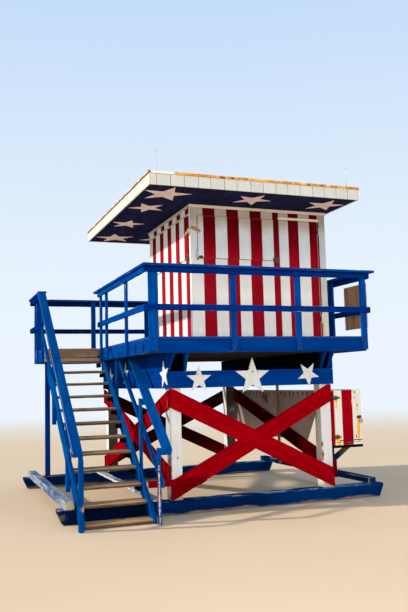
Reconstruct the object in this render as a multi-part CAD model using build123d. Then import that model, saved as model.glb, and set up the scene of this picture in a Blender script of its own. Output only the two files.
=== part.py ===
from build123d import *
import math
import os

# Timber lifeguard tower: a grooved-board hut with a flat roof, on a railed
# deck that stands on four legs and two ground skids, with a side stair.
#
# Layout frame (millimetres): X runs right along the near side, Y runs away
# from it, Z is up.  X = Y = 0 is the deck's near left corner, Z = 0 is the
# ground.  OX, OY move the finished model so that the middle of its footprint
# is the origin.

# ---------------------------------------------------------------- footprint
OX = 1391.0            # shift of the origin along X
OY = 2197.5            # shift of the origin along Y

# ---------------------------------------------------------------- lumber
T = 38.0               # thickness of a plank
P4 = 89.0              # side of a four by four post, width of a two by four
W6 = 140.0             # width of a two by six
W8 = 184.0             # width of a two by eight
W10 = 235.0            # width of a two by ten
GAP = 2.0              # joint gap between like pieces that meet

# ---------------------------------------------------------------- base
SKID_H = 207.0
SKID_W = 190.0
SKID_X0, SKID_X1 = -1187.0, 3969.0
SKID_NEAR_Y = 427.0
SKID_FAR_Y = 4232.0
SKID_NOSE = 75.0       # undercut at each end of a skid
FAR_SKID_X1 = 3885.0   # the far skid stops a little short

LEG = 184.0
LEG_X0, LEG_X1 = 405.0, 3059.0      # outer faces of the left and right legs
LEG_Y0, LEG_Y1 = 420.0, 4427.0      # outer faces of the near and far legs
BEAM_Z0, BEAM_Z1 = 1788.0, 2035.0
BEAM_T = 45.0

# ---------------------------------------------------------------- deck
DECK_W = 3494.0        # along X
DECK_D = 4450.0        # along Y
DECK_Z = 2513.0        # walking surface
DECKING = 38.0
RIM_Z0 = 2285.0        # bottom of the rim boards

# ---------------------------------------------------------------- railing
RAIL_T = 38.0
CAP_OUT = 95.0         # cap overhang beyond the rim face
CAP_W = 140.0
CAP_Z1 = 3530.0
CAP_Z0 = CAP_Z1 - T
TOP_Z1 = CAP_Z0
TOP_Z0 = TOP_Z1 - P4
MID_Z1 = 2960.0
MID_Z0 = MID_Z1 - P4
POST_FOOT = RIM_Z0 + 22.0
POST_T = 38.0          # posts are planks laid flat on the outside of the rims

# ---------------------------------------------------------------- landing
LAND_X0 = -965.0
LAND_Y0 = 3100.0

# ---------------------------------------------------------------- cabin
BOARD = 203.0          # one grooved board, eight inches
CAB_X0 = 960.0         # the first board is seven millimetres wider
CAB_X1 = 3368.0
CAB_Y0 = 878.0
CAB_Y1 = CAB_Y0 + 11 * BOARD          # 3111
WALL = 100.0
SOFFIT_Z = 4649.0

DOOR_X0, DOOR_X1 = 2506.0, 3216.0
DOOR_Z0, DOOR_Z1 = DECK_Z + 12.0, 4478.0
DOOR_T = 42.0
WIN_Z0, WIN_Z1 = 3862.0, 4420.0       # hatch holes in the walls
SHUT_T = 22.0

# ---------------------------------------------------------------- roof
ROOF_X0, ROOF_X1 = 21.0, 3440.0
ROOF_Y0, ROOF_Y1 = -67.0, 4150.0
ROOF_Z1 = 4846.0
FASCIA_T = 22.0

# ---------------------------------------------------------------- stair
RISE = 205.3
RUN = 281.0
TREAD_X0, TREAD_X1 = -907.0, 20.0
TREAD_Y0 = 0.0         # nosing of the lowest tread
TREAD_Z0 = 50.0        # seat level of the lowest tread
TREAD_UP = 12.0        # the rough sawn treads stand this far above it, all but the topmost
SLOPE = math.atan2(RISE, RUN)
NEWEL_Y = -150.0       # near face of the newel posts

# ---------------------------------------------------------------- locker
LOCK_X0, LOCK_X1 = 3101.0, 3590.0
LOCK_Y0, LOCK_Y1 = 380.0, 980.0
LOCK_Z0, LOCK_Z1 = 835.0, 1690.0
LOCK_T = 19.0


def box(x0, x1, y0, y1, z0, z1):
    return Pos(x0, y0, z0) * Box(x1 - x0, y1 - y0, z1 - z0,
                                 align=(Align.MIN, Align.MIN, Align.MIN))


def prism_y(pts, y0, y1):
    """A prism along Y from a polygon of (x, z) points."""
    f = Face(Wire.make_polygon([(x, y0, z) for x, z in pts], close=True))
    return Solid.extrude(f, Vector(0, y1 - y0, 0))


def prism_x(pts, x0, x1):
    """A prism along X from a polygon of (y, z) points."""
    f = Face(Wire.make_polygon([(x0, y, z) for y, z in pts], close=True))
    return Solid.extrude(f, Vector(x1 - x0, 0, 0))


def prism_z(pts, z0, z1):
    """A prism along Z from a polygon of (x, y) points."""
    f = Face(Wire.make_polygon([(x, y, z0) for x, y in pts], close=True))
    return Solid.extrude(f, Vector(0, 0, z1 - z0))


def slant(a0, z0, a1, z1, w):
    """Outline of a slanted plank, cut plumb at both ends."""
    c = w / 2 / math.cos(math.atan2(z1 - z0, a1 - a0))
    return [(a0, z0 - c), (a1, z1 - c), (a1, z1 + c), (a0, z0 + c)]


NODES = {}


def put(name, *solids):
    flat = []
    for s in solids:
        if isinstance(s, (list, tuple)):
            flat.extend(s)
        else:
            flat.append(s)
    NODES[name] = flat


# =================================================================== base
def skid(y0, x1):
    pts = [(SKID_X0, SKID_H), (x1, SKID_H),
           (x1, SKID_H - 45), (x1 - SKID_NOSE, 0),
           (SKID_X0 + SKID_NOSE, 0), (SKID_X0, SKID_H - 45)]
    return prism_y(pts, y0, y0 + SKID_W)


put("skids", skid(SKID_NEAR_Y, SKID_X1), skid(SKID_FAR_Y, FAR_SKID_X1))

# timbers across the skids: one at each end and a flat plank between
TIE_Z1 = SKID_H + 115.0
TIE_Y0, TIE_Y1 = SKID_NEAR_Y - 40, SKID_FAR_Y + 60
put("cross_timbers",
    box(-1105, -968, TIE_Y0, TIE_Y1, SKID_H, TIE_Z1),
    box(3687, 3824, TIE_Y0 + 30, SKID_FAR_Y + SKID_W, SKID_H, TIE_Z1 - 20),
    box(140, 280, SKID_NEAR_Y + 10, SKID_FAR_Y + SKID_W, SKID_H, SKID_H + T))

legs = []
for x in (LEG_X0, LEG_X1 - LEG):
    for y in (LEG_Y0, LEG_Y1 - LEG):
        legs.append(box(x, x + LEG, y, y + LEG, SKID_H, BEAM_Z1))
put("legs", legs)
put("side_post", box(LEG_X1 - T - 1, LEG_X1 - 1, 2188, 2188 + 50, 400, RIM_Z0 - 1))

# beams: boards on the outer faces of the legs, with stringers over the sides
put("end_beams",
    box(LEG_X0 - BEAM_T, LEG_X1 + BEAM_T, LEG_Y0 - BEAM_T, LEG_Y0, BEAM_Z0, BEAM_Z1),
    box(LEG_X0 - BEAM_T, LEG_X1 + BEAM_T, LEG_Y1, LEG_Y1 + BEAM_T - 22, BEAM_Z0, BEAM_Z1))
put("side_beams",
    box(LEG_X0 - BEAM_T, LEG_X0, LEG_Y0, LEG_Y1, BEAM_Z0, BEAM_Z1),
    box(LEG_X1, LEG_X1 + BEAM_T, LEG_Y0, LEG_Y1, BEAM_Z0, BEAM_Z1))
put("side_stringers",
    box(LEG_X0 - BEAM_T, LEG_X0, LEG_Y0 - BEAM_T, LEG_Y1, BEAM_Z1, RIM_Z0),
    box(LEG_X1, LEG_X1 + BEAM_T, LEG_Y0 - BEAM_T, LEG_Y1, BEAM_Z1, RIM_Z0),
    box(620, 620 + BEAM_T, LEG_Y0 - BEAM_T, LEG_Y1, BEAM_Z1, RIM_Z0),
    box(2862, 2862 + BEAM_T, LEG_Y0 - BEAM_T, LEG_Y1, BEAM_Z1, RIM_Z0))

# braces: one plank runs through and the other is in two pieces beside it
BR_W = 240.0
BR_Z0, BR_Z1 = 360.0, 1640.0


def brace(a0, a1, mk, z_short=None):
    """An X of planks between a0 and a1: mk makes a prism of an outline."""
    main = mk(slant(a0, BR_Z1, a1, BR_Z0, BR_W))
    lo, hi = z_short or (BR_Z0, BR_Z1)
    short = mk(slant(a0, lo, a1, hi, BR_W)) - mk(slant(a0 - 50, BR_Z1 + 50 * KB, a1 + 50, BR_Z0 - 50 * KB, BR_W + 4))
    pieces = [main]
    for s in short.solids():
        pieces.append(s)
    return pieces


BX0, BX1 = LEG_X0 - T, LEG_X1 - 1
KB = (BR_Z1 - BR_Z0) / (BX1 - BX0)
# the near pair is a little wider and steeper than the far pair, and is cut off
# under the beam and over the skid
NEAR_A = (1683.0, 357.0, 258.0)
NEAR_B = (317.0, 1668.0, 250.0)
NEAR_K = (NEAR_A[0] - NEAR_A[1]) / (BX1 - BX0)
# (their left ends butt against the left side's braces, whose ends show)
clip = box(LEG_X0 + 1, BX1 + 100, LEG_Y0 - 3 * T, LEG_Y0 + T, 214, BEAM_Z0 - 3)
ends = [prism_y(slant(BX0, NEAR_A[0], BX1, NEAR_A[1], NEAR_A[2]), LEG_Y0 - T, LEG_Y0) & clip]
under = prism_y(slant(BX0, NEAR_B[0], BX1, NEAR_B[1], NEAR_B[2]), LEG_Y0 - T, LEG_Y0) & clip
under = under - prism_y(slant(BX0 - 50, NEAR_A[0] + 50 * NEAR_K, BX1 + 50, NEAR_A[1] - 50 * NEAR_K, NEAR_A[2] + 4), LEG_Y0 - T, LEG_Y0)
ends += list(under.solids())
ends += brace(BX0, BX1, lambda p: prism_y(p, LEG_Y1, LEG_Y1 + T - 18))
put("end_braces", ends)
KB = (BR_Z1 - BR_Z0) / (LEG_Y1 - LEG_Y0 - 2)
sides = brace(LEG_Y0 - T + 1, LEG_Y1 - 1, lambda p: prism_x(p, LEG_X0 - T, LEG_X0), (553.0, 1640.0))
top = box(LEG_X0 - 2 * T, LEG_X0 + T, LEG_Y0 - 2 * T, LEG_Y0 + 1, BEAM_Z0 - 3, BEAM_Z0 + 400)
sides = [q for s_ in sides for q in (s_ - top).solids()]
# the right side has one plank only, whose lower end runs past the leg
sides.append(prism_x(slant(LEG_Y0 - 60, 480.0, LEG_Y1 - 1, BR_Z1, BR_W), LEG_X1, LEG_X1 + T))
put("side_braces", sides)
# a low plank from the foot of the near brace to the stair
# (its end is cut along the lower edge of the brace that it is nailed to)
KN = (NEAR_B[1] - NEAR_B[0]) / (BX1 - BX0)
foot = NEAR_B[0] - NEAR_B[2] / 2 / math.cos(math.atan(KN))
over = prism_y([(0, foot - KN * BX0), (1100, foot + KN * (1100 - BX0)), (1100, 1300), (0, 1300)], LEG_Y0 - 2 * T, LEG_Y0 - T)
put("stair_tie", prism_y(slant(TREAD_X1 + T + 2, 465.0, 930.0, 456.0, 96.0), LEG_Y0 - 2 * T, LEG_Y0 - T) & over)

# outriggers: short slanted struts from the beams out to the deck's edge
# (foot and head of each strut along X, its thickness and its foot's Y)
YF = LEG_Y0 - BEAM_T
OUTS = ((362.0, 350.0, BEAM_T, YF), (620.0, 542.0, BEAM_T, YF), (2862.0, 2784.0, T, YF), (2999.0, 2919.0, T, YF + 25))


def outrigger(xf, xh, w, y_foot, y_head):
    s = 1 if y_head > y_foot else -1
    z0, z1 = BEAM_Z1 + 0.5, RIM_Z0 - 0.5
    ya, yb = sorted((y_foot, y_foot + s * 10))
    yc, yd = sorted((y_head, y_head - s * 95))
    foot = Wire.make_polygon([(xf, ya, z0), (xf + w, ya, z0), (xf + w, yb, z0), (xf, yb, z0)], close=True)
    head = Wire.make_polygon([(xh, yc, z1), (xh + w, yc, z1), (xh + w, yd, z1), (xh, yd, z1)], close=True)
    return Solid.make_loft([foot, head], True)


put("outriggers", [outrigger(a, b, w, yf, 45) for a, b, w, yf in OUTS])

# cut-out stars on the near and left beams
STAR_T = 12.0


def star(ca, cz, r, rot=0.0):
    pts = []
    for i in range(10):
        rr = r if i % 2 == 0 else r * 0.40
        a = math.radians(90 + rot + 36 * i)
        pts.append((ca + rr * math.cos(a), cz + rr * math.sin(a)))
    return pts


BY = LEG_Y0 - BEAM_T
BXL = LEG_X0 - BEAM_T
put("beam_stars",
    prism_y(star(853, 1908, 200), BY - STAR_T, BY),
    prism_y(star(1710, 1930, 290), BY - STAR_T, BY),
    prism_y(star(2655, 1952, 195, 184), BY - STAR_T, BY),
    prism_x(star(470, 1985, 208, -9), BXL - STAR_T, BXL),
    prism_x(star(2670, 2040, 205), BXL - STAR_T, BXL),
    prism_x(star(3780, 1990, 200), BXL - STAR_T, BXL))

# =================================================================== deck
put("decking",
    box(0, DECK_W, 0, DECK_D, DECK_Z - DECKING, DECK_Z),
    box(LAND_X0, -GAP, LAND_Y0 + T, DECK_D, DECK_Z - DECKING, DECK_Z))
joists = []
n = 11
for i in range(n):
    y = T + 60 + i * (DECK_D - 2 * T - 120 - T) / (n - 1)
    joists.append(box(T + 1, DECK_W - T - 1, y, y + T, RIM_Z0, DECK_Z - DECKING))
put("deck_joists", joists)
put("end_rims",
    box(0, DECK_W, 0, T, RIM_Z0, DECK_Z - DECKING),
    box(0, DECK_W, DECK_D - T, DECK_D, RIM_Z0, DECK_Z - DECKING))
put("side_rims",
    box(0, T, T, DECK_D - T, RIM_Z0, DECK_Z - DECKING),
    box(DECK_W - T, DECK_W, T, DECK_D - T, RIM_Z0, DECK_Z - DECKING))

# =================================================================== railing
E = POST_T
posts = []


def post_y(x0, x1, y_face, s):
    """Plank post on the outer face of a near (s = -1) or far (s = 1) rim."""
    ya, yb = sorted((y_face, y_face + s * E))
    return box(x0, x1, ya, yb, POST_FOOT, TOP_Z1)


def post_x(y0, y1, x_face, s):
    """Plank post on the outer face of a left (s = -1) or right (s = 1) rim."""
    xa, xb = sorted((x_face, x_face + s * E))
    return box(xa, xb, y0, y1, POST_FOOT, TOP_Z1)


for x0, x1 in ((-10, 130), (1222, 1311), (2270, 2362), (DECK_W - 92, DECK_W + 10)):
    posts.append(post_y(x0, x1, 0, -1))
for x0, x1 in ((133, 222), (1222, 1311), (2270, 2362), (DECK_W - 92, DECK_W + 10), (LAND_X0, LAND_X0 + 140)):
    posts.append(post_y(x0, x1, DECK_D, 1))
# left side, up to the landing
for y0 in (1103, 2426, 2856):
    posts.append(post_x(y0, y0 + P4, 0, -1))
# right side: near part and far part, the hut fills the middle
for y0, y1 in ((945, 1043), (1046, 1186), (CAB_Y1 - 60, CAB_Y1 + 29), (DECK_D - 700, DECK_D - 611)):
    posts.append(post_x(y0, y1, DECK_W, 1))
# landing
LAND_POST_Y = 3204.0
for y0 in (LAND_POST_Y, 3935):
    posts.append(post_x(y0, y0 + P4, LAND_X0, -1))
put("railing_posts", posts)

R0, R1 = E, E + RAIL_T
LEFT_END = 2950.0
RIGHT_A = 1186.0                 # right rail: near part ends here
RIGHT_B = CAB_Y1 - 60            # and the far part starts here


def rails(z0, z1, land_y0):
    g = GAP
    return [
        box(-R1, DECK_W + R1 - 20, -R1, -R0, z0, z1),
        box(-R1, -R0, -R0 + g, LEFT_END, z0, z1),
        box(DECK_W + R0, DECK_W + R1, -R0 + g, RIGHT_A, z0, z1),
        box(DECK_W + R0, DECK_W + R1, RIGHT_B, DECK_D + R0 - g, z0, z1),
        box(LAND_X0 - R1, DECK_W + R1, DECK_D + R0, DECK_D + R1, z0, z1),
        box(LAND_X0 - R1, LAND_X0 - R0, land_y0, DECK_D + R0 - g, z0, z1),
    ]


put("rails", rails(TOP_Z0, TOP_Z1, LAND_POST_Y - 4) + rails(MID_Z0, MID_Z1, LAND_Y0 + 2))
C1, C0 = CAP_OUT, CAP_OUT - CAP_W
put("cap_rails",
    box(-C1, DECK_W + 144, -C1, -C0, CAP_Z0, CAP_Z1),
    box(-C1, -C0, -C0 + GAP, 3190, CAP_Z0, CAP_Z1),
    box(DECK_W + C0, DECK_W + C1, -C0 + GAP, RIGHT_A + 20, CAP_Z0, CAP_Z1),
    box(DECK_W + C0, DECK_W + C1, RIGHT_B - 20, DECK_D + C0 - GAP, CAP_Z0, CAP_Z1),
    box(LAND_X0 - C1, DECK_W + C1, DECK_D + C0, DECK_D + C1, CAP_Z0, CAP_Z1),
    box(LAND_X0 - C1, LAND_X0 - C0, LAND_Y0 + 100, DECK_D + C0 - GAP, CAP_Z0, CAP_Z1))
put("sign_board", box(DECK_W + R1, DECK_W + R1 + 12, 60, 700, 2650, 3350))

# =================================================================== landing
put("landing_fascia", box(LAND_X0, -GAP, LAND_Y0, LAND_Y0 + T, RIM_Z0, DECK_Z))
put("landing_rims",
    box(LAND_X0, LAND_X0 + T, LAND_Y0 + T, DECK_D - T - GAP, RIM_Z0, DECK_Z - DECKING),
    box(LAND_X0, -GAP, DECK_D - T, DECK_D, RIM_Z0, DECK_Z - DECKING))
put("landing_support", box(-784, -784 + P4, 4290, 4290 + P4, SKID_H, RIM_Z0))

# =================================================================== stair
k = math.tan(SLOPE)
NT = 12
treads, cleats = [], []
for i in range(NT):
    y0 = TREAD_Y0 + RUN * i
    z1 = TREAD_Z0 + RISE * i
    if i == NT - 1:
        y0, z1 = LAND_Y0 - 30, RIM_Z0 - 4
    up = 0.0 if i == NT - 1 else TREAD_UP
    treads.append(box(TREAD_X0 + 1, TREAD_X1 - 1, y0, y0 + 138, z1 - T, z1 + up))
    treads.append(box(TREAD_X0 + 1, TREAD_X1 - 1, y0 + 142, y0 + 280, z1 - T, z1 + up))
    if i > 0:
        zc = max(z1 - T - 70, SKID_H + 1) if i < 3 else z1 - T - 70
        for x0, x1 in ((TREAD_X0 + 1, TREAD_X0 + 39), (TREAD_X1 - 39, TREAD_X1 - 1)):
            cleats.append(box(x0, x1, y0 + 20, y0 + 262, zc, z1 - T))
put("treads", treads)
put("tread_cleats", cleats)

# stringers: plumb cut at the foot and under the deck rim
STR_W = W10


def stringer(x0, x1):
    c = STR_W / math.cos(SLOPE)
    y_top = LAND_Y0 - 4

    def line(y):           # lower edge of the stringer
        return TREAD_Z0 - 200 + k * (y - TREAD_Y0)
    ya = TREAD_Y0 - 40
    y0g = TREAD_Y0 + (0 - (TREAD_Z0 - 200)) / k     # lower edge meets the ground
    y1g = TREAD_Y0 + (RIM_Z0 - 2 - (TREAD_Z0 - 200 + c)) / k
    pts = [(ya, 0), (y0g, 0), (y_top, line(y_top)), (y_top, RIM_Z0 - 2), (y1g, RIM_Z0 - 2),
           (ya, line(ya) + c)]
    s = prism_x(pts, x0, x1)
    # notched over the near skid
    return s - box(x0 - 5, x1 + 5, SKID_NEAR_Y - 1, SKID_NEAR_Y + SKID_W + 1, -10, SKID_H + 1)


put("stringers", stringer(TREAD_X0 - T, TREAD_X0), stringer(TREAD_X1, TREAD_X1 + T))

# handrails: flat planks on slanted mid rails and plumb posts
SL = math.atan(0.77)
ks = math.tan(SL)
H_Y0 = NEWEL_Y + 50
R_SLOPE = 0.745


def hand_z(y):             # underside of the left handrail plank
    return 3530.0 - 48 - ks * (3200.0 - y)


def right_z(y):            # underside of the right handrail plank
    return 1353.0 + R_SLOPE * (y - 408.0)


def sloped(x0, x1, y0, y1, off, thick):
    pts = [(y0, hand_z(y0) + off), (y1, hand_z(y1) + off),
           (y1, hand_z(y1) + off + thick / math.cos(SL)), (y0, hand_z(y0) + off + thick / math.cos(SL))]
    return prism_x(pts, x0, x1)


def sloped_to(x0, x1, y0, ztop, off, thick):
    """A right hand plank, cut level at ztop at its upper end."""
    t = thick / math.cos(math.atan(R_SLOPE))
    ya = 408.0 + (ztop - off - t - 1353.0) / R_SLOPE      # upper edge meets ztop
    yb = 408.0 + (ztop - off - 1353.0) / R_SLOPE          # lower edge meets ztop
    pts = [(y0, right_z(y0) + off), (yb, ztop), (ya, ztop), (y0, right_z(y0) + off + t)]
    return prism_x(pts, x0, x1)


L_IN, R_IN = TREAD_X0 - T, TREAD_X1 + T          # outer faces of the stringers
put("handrails",
    sloped(L_IN - 137, L_IN + 3, H_Y0, 3195, 0, T),
    sloped_to(R_IN + 62, R_IN + 202, NEWEL_Y + 8, RIM_Z0 - 2, 0, T))
put("stair_mid_rails",
    sloped(L_IN - 102, L_IN - 64, NEWEL_Y + 5, LAND_Y0 - 70, -560, P4),
    sloped_to(R_IN + 41, R_IN + 79, NEWEL_Y + 5, RIM_Z0 - 2, -470, P4))
sposts = []
for y in (NEWEL_Y, 800.0, 2000.0):
    zb = 0.0 if y < 0 else TREAD_Z0 - 250 + k * (y - TREAD_Y0)
    sposts.append(prism_x([(y, zb), (y + P4, zb), (y + P4, hand_z(y) - 2 + ks * P4), (y, hand_z(y) - 2)],
                          L_IN - 62, L_IN - 1))
for y in (NEWEL_Y + 7, 731.0, 2138.0):
    zb = 0.0 if y < 0 else TREAD_Z0 - 170 + k * (y - TREAD_Y0)
    za, zc = min(right_z(y) - 2, RIM_Z0 - 2), min(right_z(y) - 2 + R_SLOPE * P4, RIM_Z0 - 2)
    pts = [(y, zb), (y + P4, zb), (y + P4, zc)]
    if zc > za + 1:
        yk = y + (zc - za) / R_SLOPE
        if yk < y + P4 - 1:
            pts.append((yk, zc))
    pts.append((y, za))
    sposts.append(prism_x(pts, R_IN + 1, R_IN + 39))
put("stair_posts", sposts)
# cross bearers under the right handrail, over the posts
put("handrail_bearers",
    [prism_x([(y + 5, right_z(y + 5) - 42), (y + 84, right_z(y + 84) - 42), (y + 84, right_z(y + 84) - 1), (y + 5, right_z(y + 5) - 1)],
             R_IN + 40, R_IN + 190) for y in (NEWEL_Y + 7, 731.0)])

# =================================================================== cabin
def wall_x(x0, x1, y0, y1, holes=()):
    s = box(x0, x1, y0, y1, DECK_Z, SOFFIT_Z)
    for a0, a1 in holes:
        s = s - box(a0, a1, y0 - 10, y1 + 10, WIN_Z0, WIN_Z1)
    return s


def wall_y(x0, x1, y0, y1, holes=()):
    s = box(x0, x1, y0, y1, DECK_Z, SOFFIT_Z)
    for a0, a1 in holes:
        s = s - box(x0 - 10, x1 + 10, a0, a1, WIN_Z0, WIN_Z1)
    return s


WNX0, WNX1 = 1135.0, 2380.0
put("near_wall", wall_x(CAB_X0, DOOR_X0 - 6, CAB_Y0, CAB_Y0 + WALL, [(WNX0, WNX1)]))
put("near_wall_over_door", box(DOOR_X0 - 6, DOOR_X1 + 6, CAB_Y0, CAB_Y0 + WALL, DOOR_Z1 + 6, SOFFIT_Z))
put("near_wall_right", box(DOOR_X1 + 6, CAB_X1, CAB_Y0, CAB_Y0 + WALL, DECK_Z, SOFFIT_Z))
put("far_wall", wall_x(CAB_X0, CAB_X1, CAB_Y1 - WALL, CAB_Y1, [(1300, 3000)]))
WLY0, WLY1 = CAB_Y0 + 190, CAB_Y1 - 190
put("left_wall", wall_y(CAB_X0, CAB_X0 + WALL, CAB_Y0 + WALL, CAB_Y1 - WALL, [(WLY0, WLY1)]))
put("right_wall", wall_y(CAB_X1 - WALL, CAB_X1, CAB_Y0 + WALL, CAB_Y1 - WALL, [(WLY0, WLY1)]))

SH_Z0, SH_Z1 = 3800.0, 4475.0
put("shutters",
    box(1075, 2440, CAB_Y0 - SHUT_T, CAB_Y0, SH_Z0, SH_Z1),
    box(1240, 3060, CAB_Y1, CAB_Y1 + SHUT_T, SH_Z0, SH_Z1),
    box(CAB_X0 - SHUT_T, CAB_X0, CAB_Y0 + 95, CAB_Y1 - 95, SH_Z0, SH_Z1),
    box(CAB_X1, CAB_X1 + SHUT_T, CAB_Y0 + 95, CAB_Y1 - 95, SH_Z0, SH_Z1))

# door leaf, flush with the boards, hung on its right edge to open outwards
DG = 6.0
put("cabin_door", box(DOOR_X0, DOOR_X1, CAB_Y0, CAB_Y0 + DOOR_T, DOOR_Z0, DOOR_Z1))
HX, HY = DOOR_X1 + 3.0, CAB_Y0 - 14.0      # hinge pin line of the door
HZ = (4320.0, 2860.0)
hinge_wall, hinge_door = [], []
for z in HZ:
    hinge_wall.append(box(HX + 11, HX + 62, CAB_Y0 - 6, CAB_Y0, z - 50, z + 50))
    hinge_door.append(box(DOOR_X1 - 60, HX - 11, CAB_Y0 - 6, CAB_Y0, z - 50, z + 50))
put("door_hinge_straps", hinge_door)

# cornice under the soffit and the ledge over the left hatch
CO = 20.0
outer = box(CAB_X0 - CO, CAB_X1 + CO, CAB_Y0 - CO, CAB_Y1 + CO, SOFFIT_Z - 45, SOFFIT_Z)
inner = box(CAB_X0, CAB_X1, CAB_Y0, CAB_Y1, SOFFIT_Z - 60, SOFFIT_Z + 10)
put("cornice", outer - inner)
put("hut_trim",
    box(CAB_X0 - 20, CAB_X0, CAB_Y0 + 40, CAB_Y1 - 40, SH_Z1 + 3, SH_Z1 + 33),
    box(DOOR_X0 - 20, DOOR_X1 + 20, CAB_Y0 - 20, CAB_Y0, DOOR_Z1 + 10, DOOR_Z1 + 50))

# hasps and slide latches at the foot of the near and left hatches
put("hatch_latches",
    box(1090, 1150, CAB_Y0 - SHUT_T - 16, CAB_Y0 - SHUT_T, 3782, 3842),
    box(2376, 2436, CAB_Y0 - SHUT_T - 16, CAB_Y0 - SHUT_T, 3800, 3880),
    box(CAB_X0 - SHUT_T - 16, CAB_X0 - SHUT_T, CAB_Y0 + 105, CAB_Y0 + 165, 3782, 3842))

# =================================================================== roof
F = FASCIA_T
put("soffit", box(ROOF_X0 + F, ROOF_X1 - F, ROOF_Y0 + F, ROOF_Y1 - F, SOFFIT_Z, SOFFIT_Z + 18))
put("roof_deck", box(ROOF_X0 + F, ROOF_X1 - F, ROOF_Y0 + F, ROOF_Y1 - F, ROOF_Z1 - 24, ROOF_Z1 - 6))
put("long_fascias",
    box(ROOF_X0, ROOF_X0 + F, ROOF_Y0, ROOF_Y1, SOFFIT_Z - 3, ROOF_Z1 - 3),
    box(ROOF_X1 - F, ROOF_X1, ROOF_Y0, ROOF_Y1, SOFFIT_Z - 3, ROOF_Z1 - 3))
put("end_fascias",
    box(ROOF_X0 + F, ROOF_X1 - F, ROOF_Y0, ROOF_Y0 + F, SOFFIT_Z - 3, ROOF_Z1 - 3),
    box(ROOF_X0 + F, ROOF_X1 - F, ROOF_Y1 - F, ROOF_Y1, SOFFIT_Z - 3, ROOF_Z1 - 3))
D = 8.0
edge = box(ROOF_X0 - D, ROOF_X1 + D, ROOF_Y0 - D, ROOF_Y1 + D, ROOF_Z1 - 32, ROOF_Z1)
edge -= box(ROOF_X0, ROOF_X1, ROOF_Y0, ROOF_Y1, ROOF_Z1 - 50, ROOF_Z1 - 3)
edge -= box(ROOF_X0 + 60, ROOF_X1 - 60, ROOF_Y0 + 60, ROOF_Y1 - 60, ROOF_Z1 - 50, ROOF_Z1 + 10)
put("drip_edge", edge)
put("aerials",
    Pos(150, -20, ROOF_Z1) * Cylinder(5, 328, align=(Align.CENTER, Align.CENTER, Align.MIN)),
    Pos(3255, -20, ROOF_Z1) * Cylinder(5, 328, align=(Align.CENTER, Align.CENTER, Align.MIN)))

# =================================================================== locker
L0, L1, M0, M1, Z0, Z1 = LOCK_X0, LOCK_X1, LOCK_Y0, LOCK_Y1, LOCK_Z0, LOCK_Z1
lock = box(L0, L1, M0 + 20, M1, Z0, Z1) - box(L0 + LOCK_T, L1 - LOCK_T, M0, M1 - LOCK_T, Z0 + 38, Z1 - LOCK_T)
put("locker_box", lock)
put("locker_door", box(L0 + 4, L1 - 2, M0, M0 + 19, Z0 + 44, Z1 - 2))
# shelf under the locker on two knee brackets
SHELF = 45.0
put("locker_shelf", box(L0 - 3, L1 + 15, M0 + 15, M1 + 10, Z0 - SHELF, Z0))
knees = []
for y in (470.0, 860.0):
    leg = box(L0 - 3, L0 + 22, y, y + T, Z0 - 275, Z0 - SHELF)
    arm = prism_y([(L0, Z0 - 275), (L0 + 322, Z0 - SHELF), (L0 + 196, Z0 - SHELF), (L0, Z0 - 171)], y, y + T)
    knees.append((leg + arm).solids()[0])
put("locker_brackets", knees)
# hinges of the locker door on its left edge, and the hasp on its right one
PX, PY = L0 + 2.0, M0 - 10.0
wall_leaf, door_leaf = list(hinge_wall), []
for z in (Z0 + 125, Z1 - 125):
    wall_leaf.append(box(L0 - 3, L0, M0 + 22, M0 + 70, z - 40, z + 40))
    door_leaf.append(box(L0 + 14, L0 + 120, M0 - 4, M0, z - 27, z + 27))
put("hinge_leaves", wall_leaf)
put("locker_hinge_straps", door_leaf)
put("locker_hasp", box(L1 - 70, L1 - 6, M0 - 5, M0, 1230, 1285))
put("side_panel", prism_x([(1290, LOCK_Z0 + 10), (LEG_Y1 - 2, LOCK_Z0 + 10), (LEG_Y1 - 2, LOCK_Z1), (985, LOCK_Z1),
                           (985, 1290)], LEG_X1 + T + 1, LEG_X1 + T + 13))

# =================================================================== write
os.makedirs("parts", exist_ok=True)
for old in os.listdir("parts"):
    if old.endswith(".step"):
        os.remove(os.path.join("parts", old))

lo = [1e9] * 3
hi = [-1e9] * 3
for name, solids in NODES.items():
    moved = [Pos(-OX, -OY, 0) * s for s in solids]
    shape = moved[0] if len(moved) == 1 else Compound(children=moved)
    shape.label = name
    bb = shape.bounding_box()
    for i, (a, b) in enumerate(zip((bb.min.X, bb.min.Y, bb.min.Z), (bb.max.X, bb.max.Y, bb.max.Z))):
        lo[i] = min(lo[i], a)
        hi[i] = max(hi[i], b)
    export_step(shape, os.path.join("parts", name + ".step"))
print("nodes", len(NODES))
print("box", [round(v, 1) for v in lo], [round(v, 1) for v in hi])
print("footprint centre offset", round((lo[0] + hi[0]) / 2, 2), round((lo[1] + hi[1]) / 2, 2))
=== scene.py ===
import math
import random

import bmesh
import bpy
from mathutils import Matrix, Vector, noise


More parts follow.
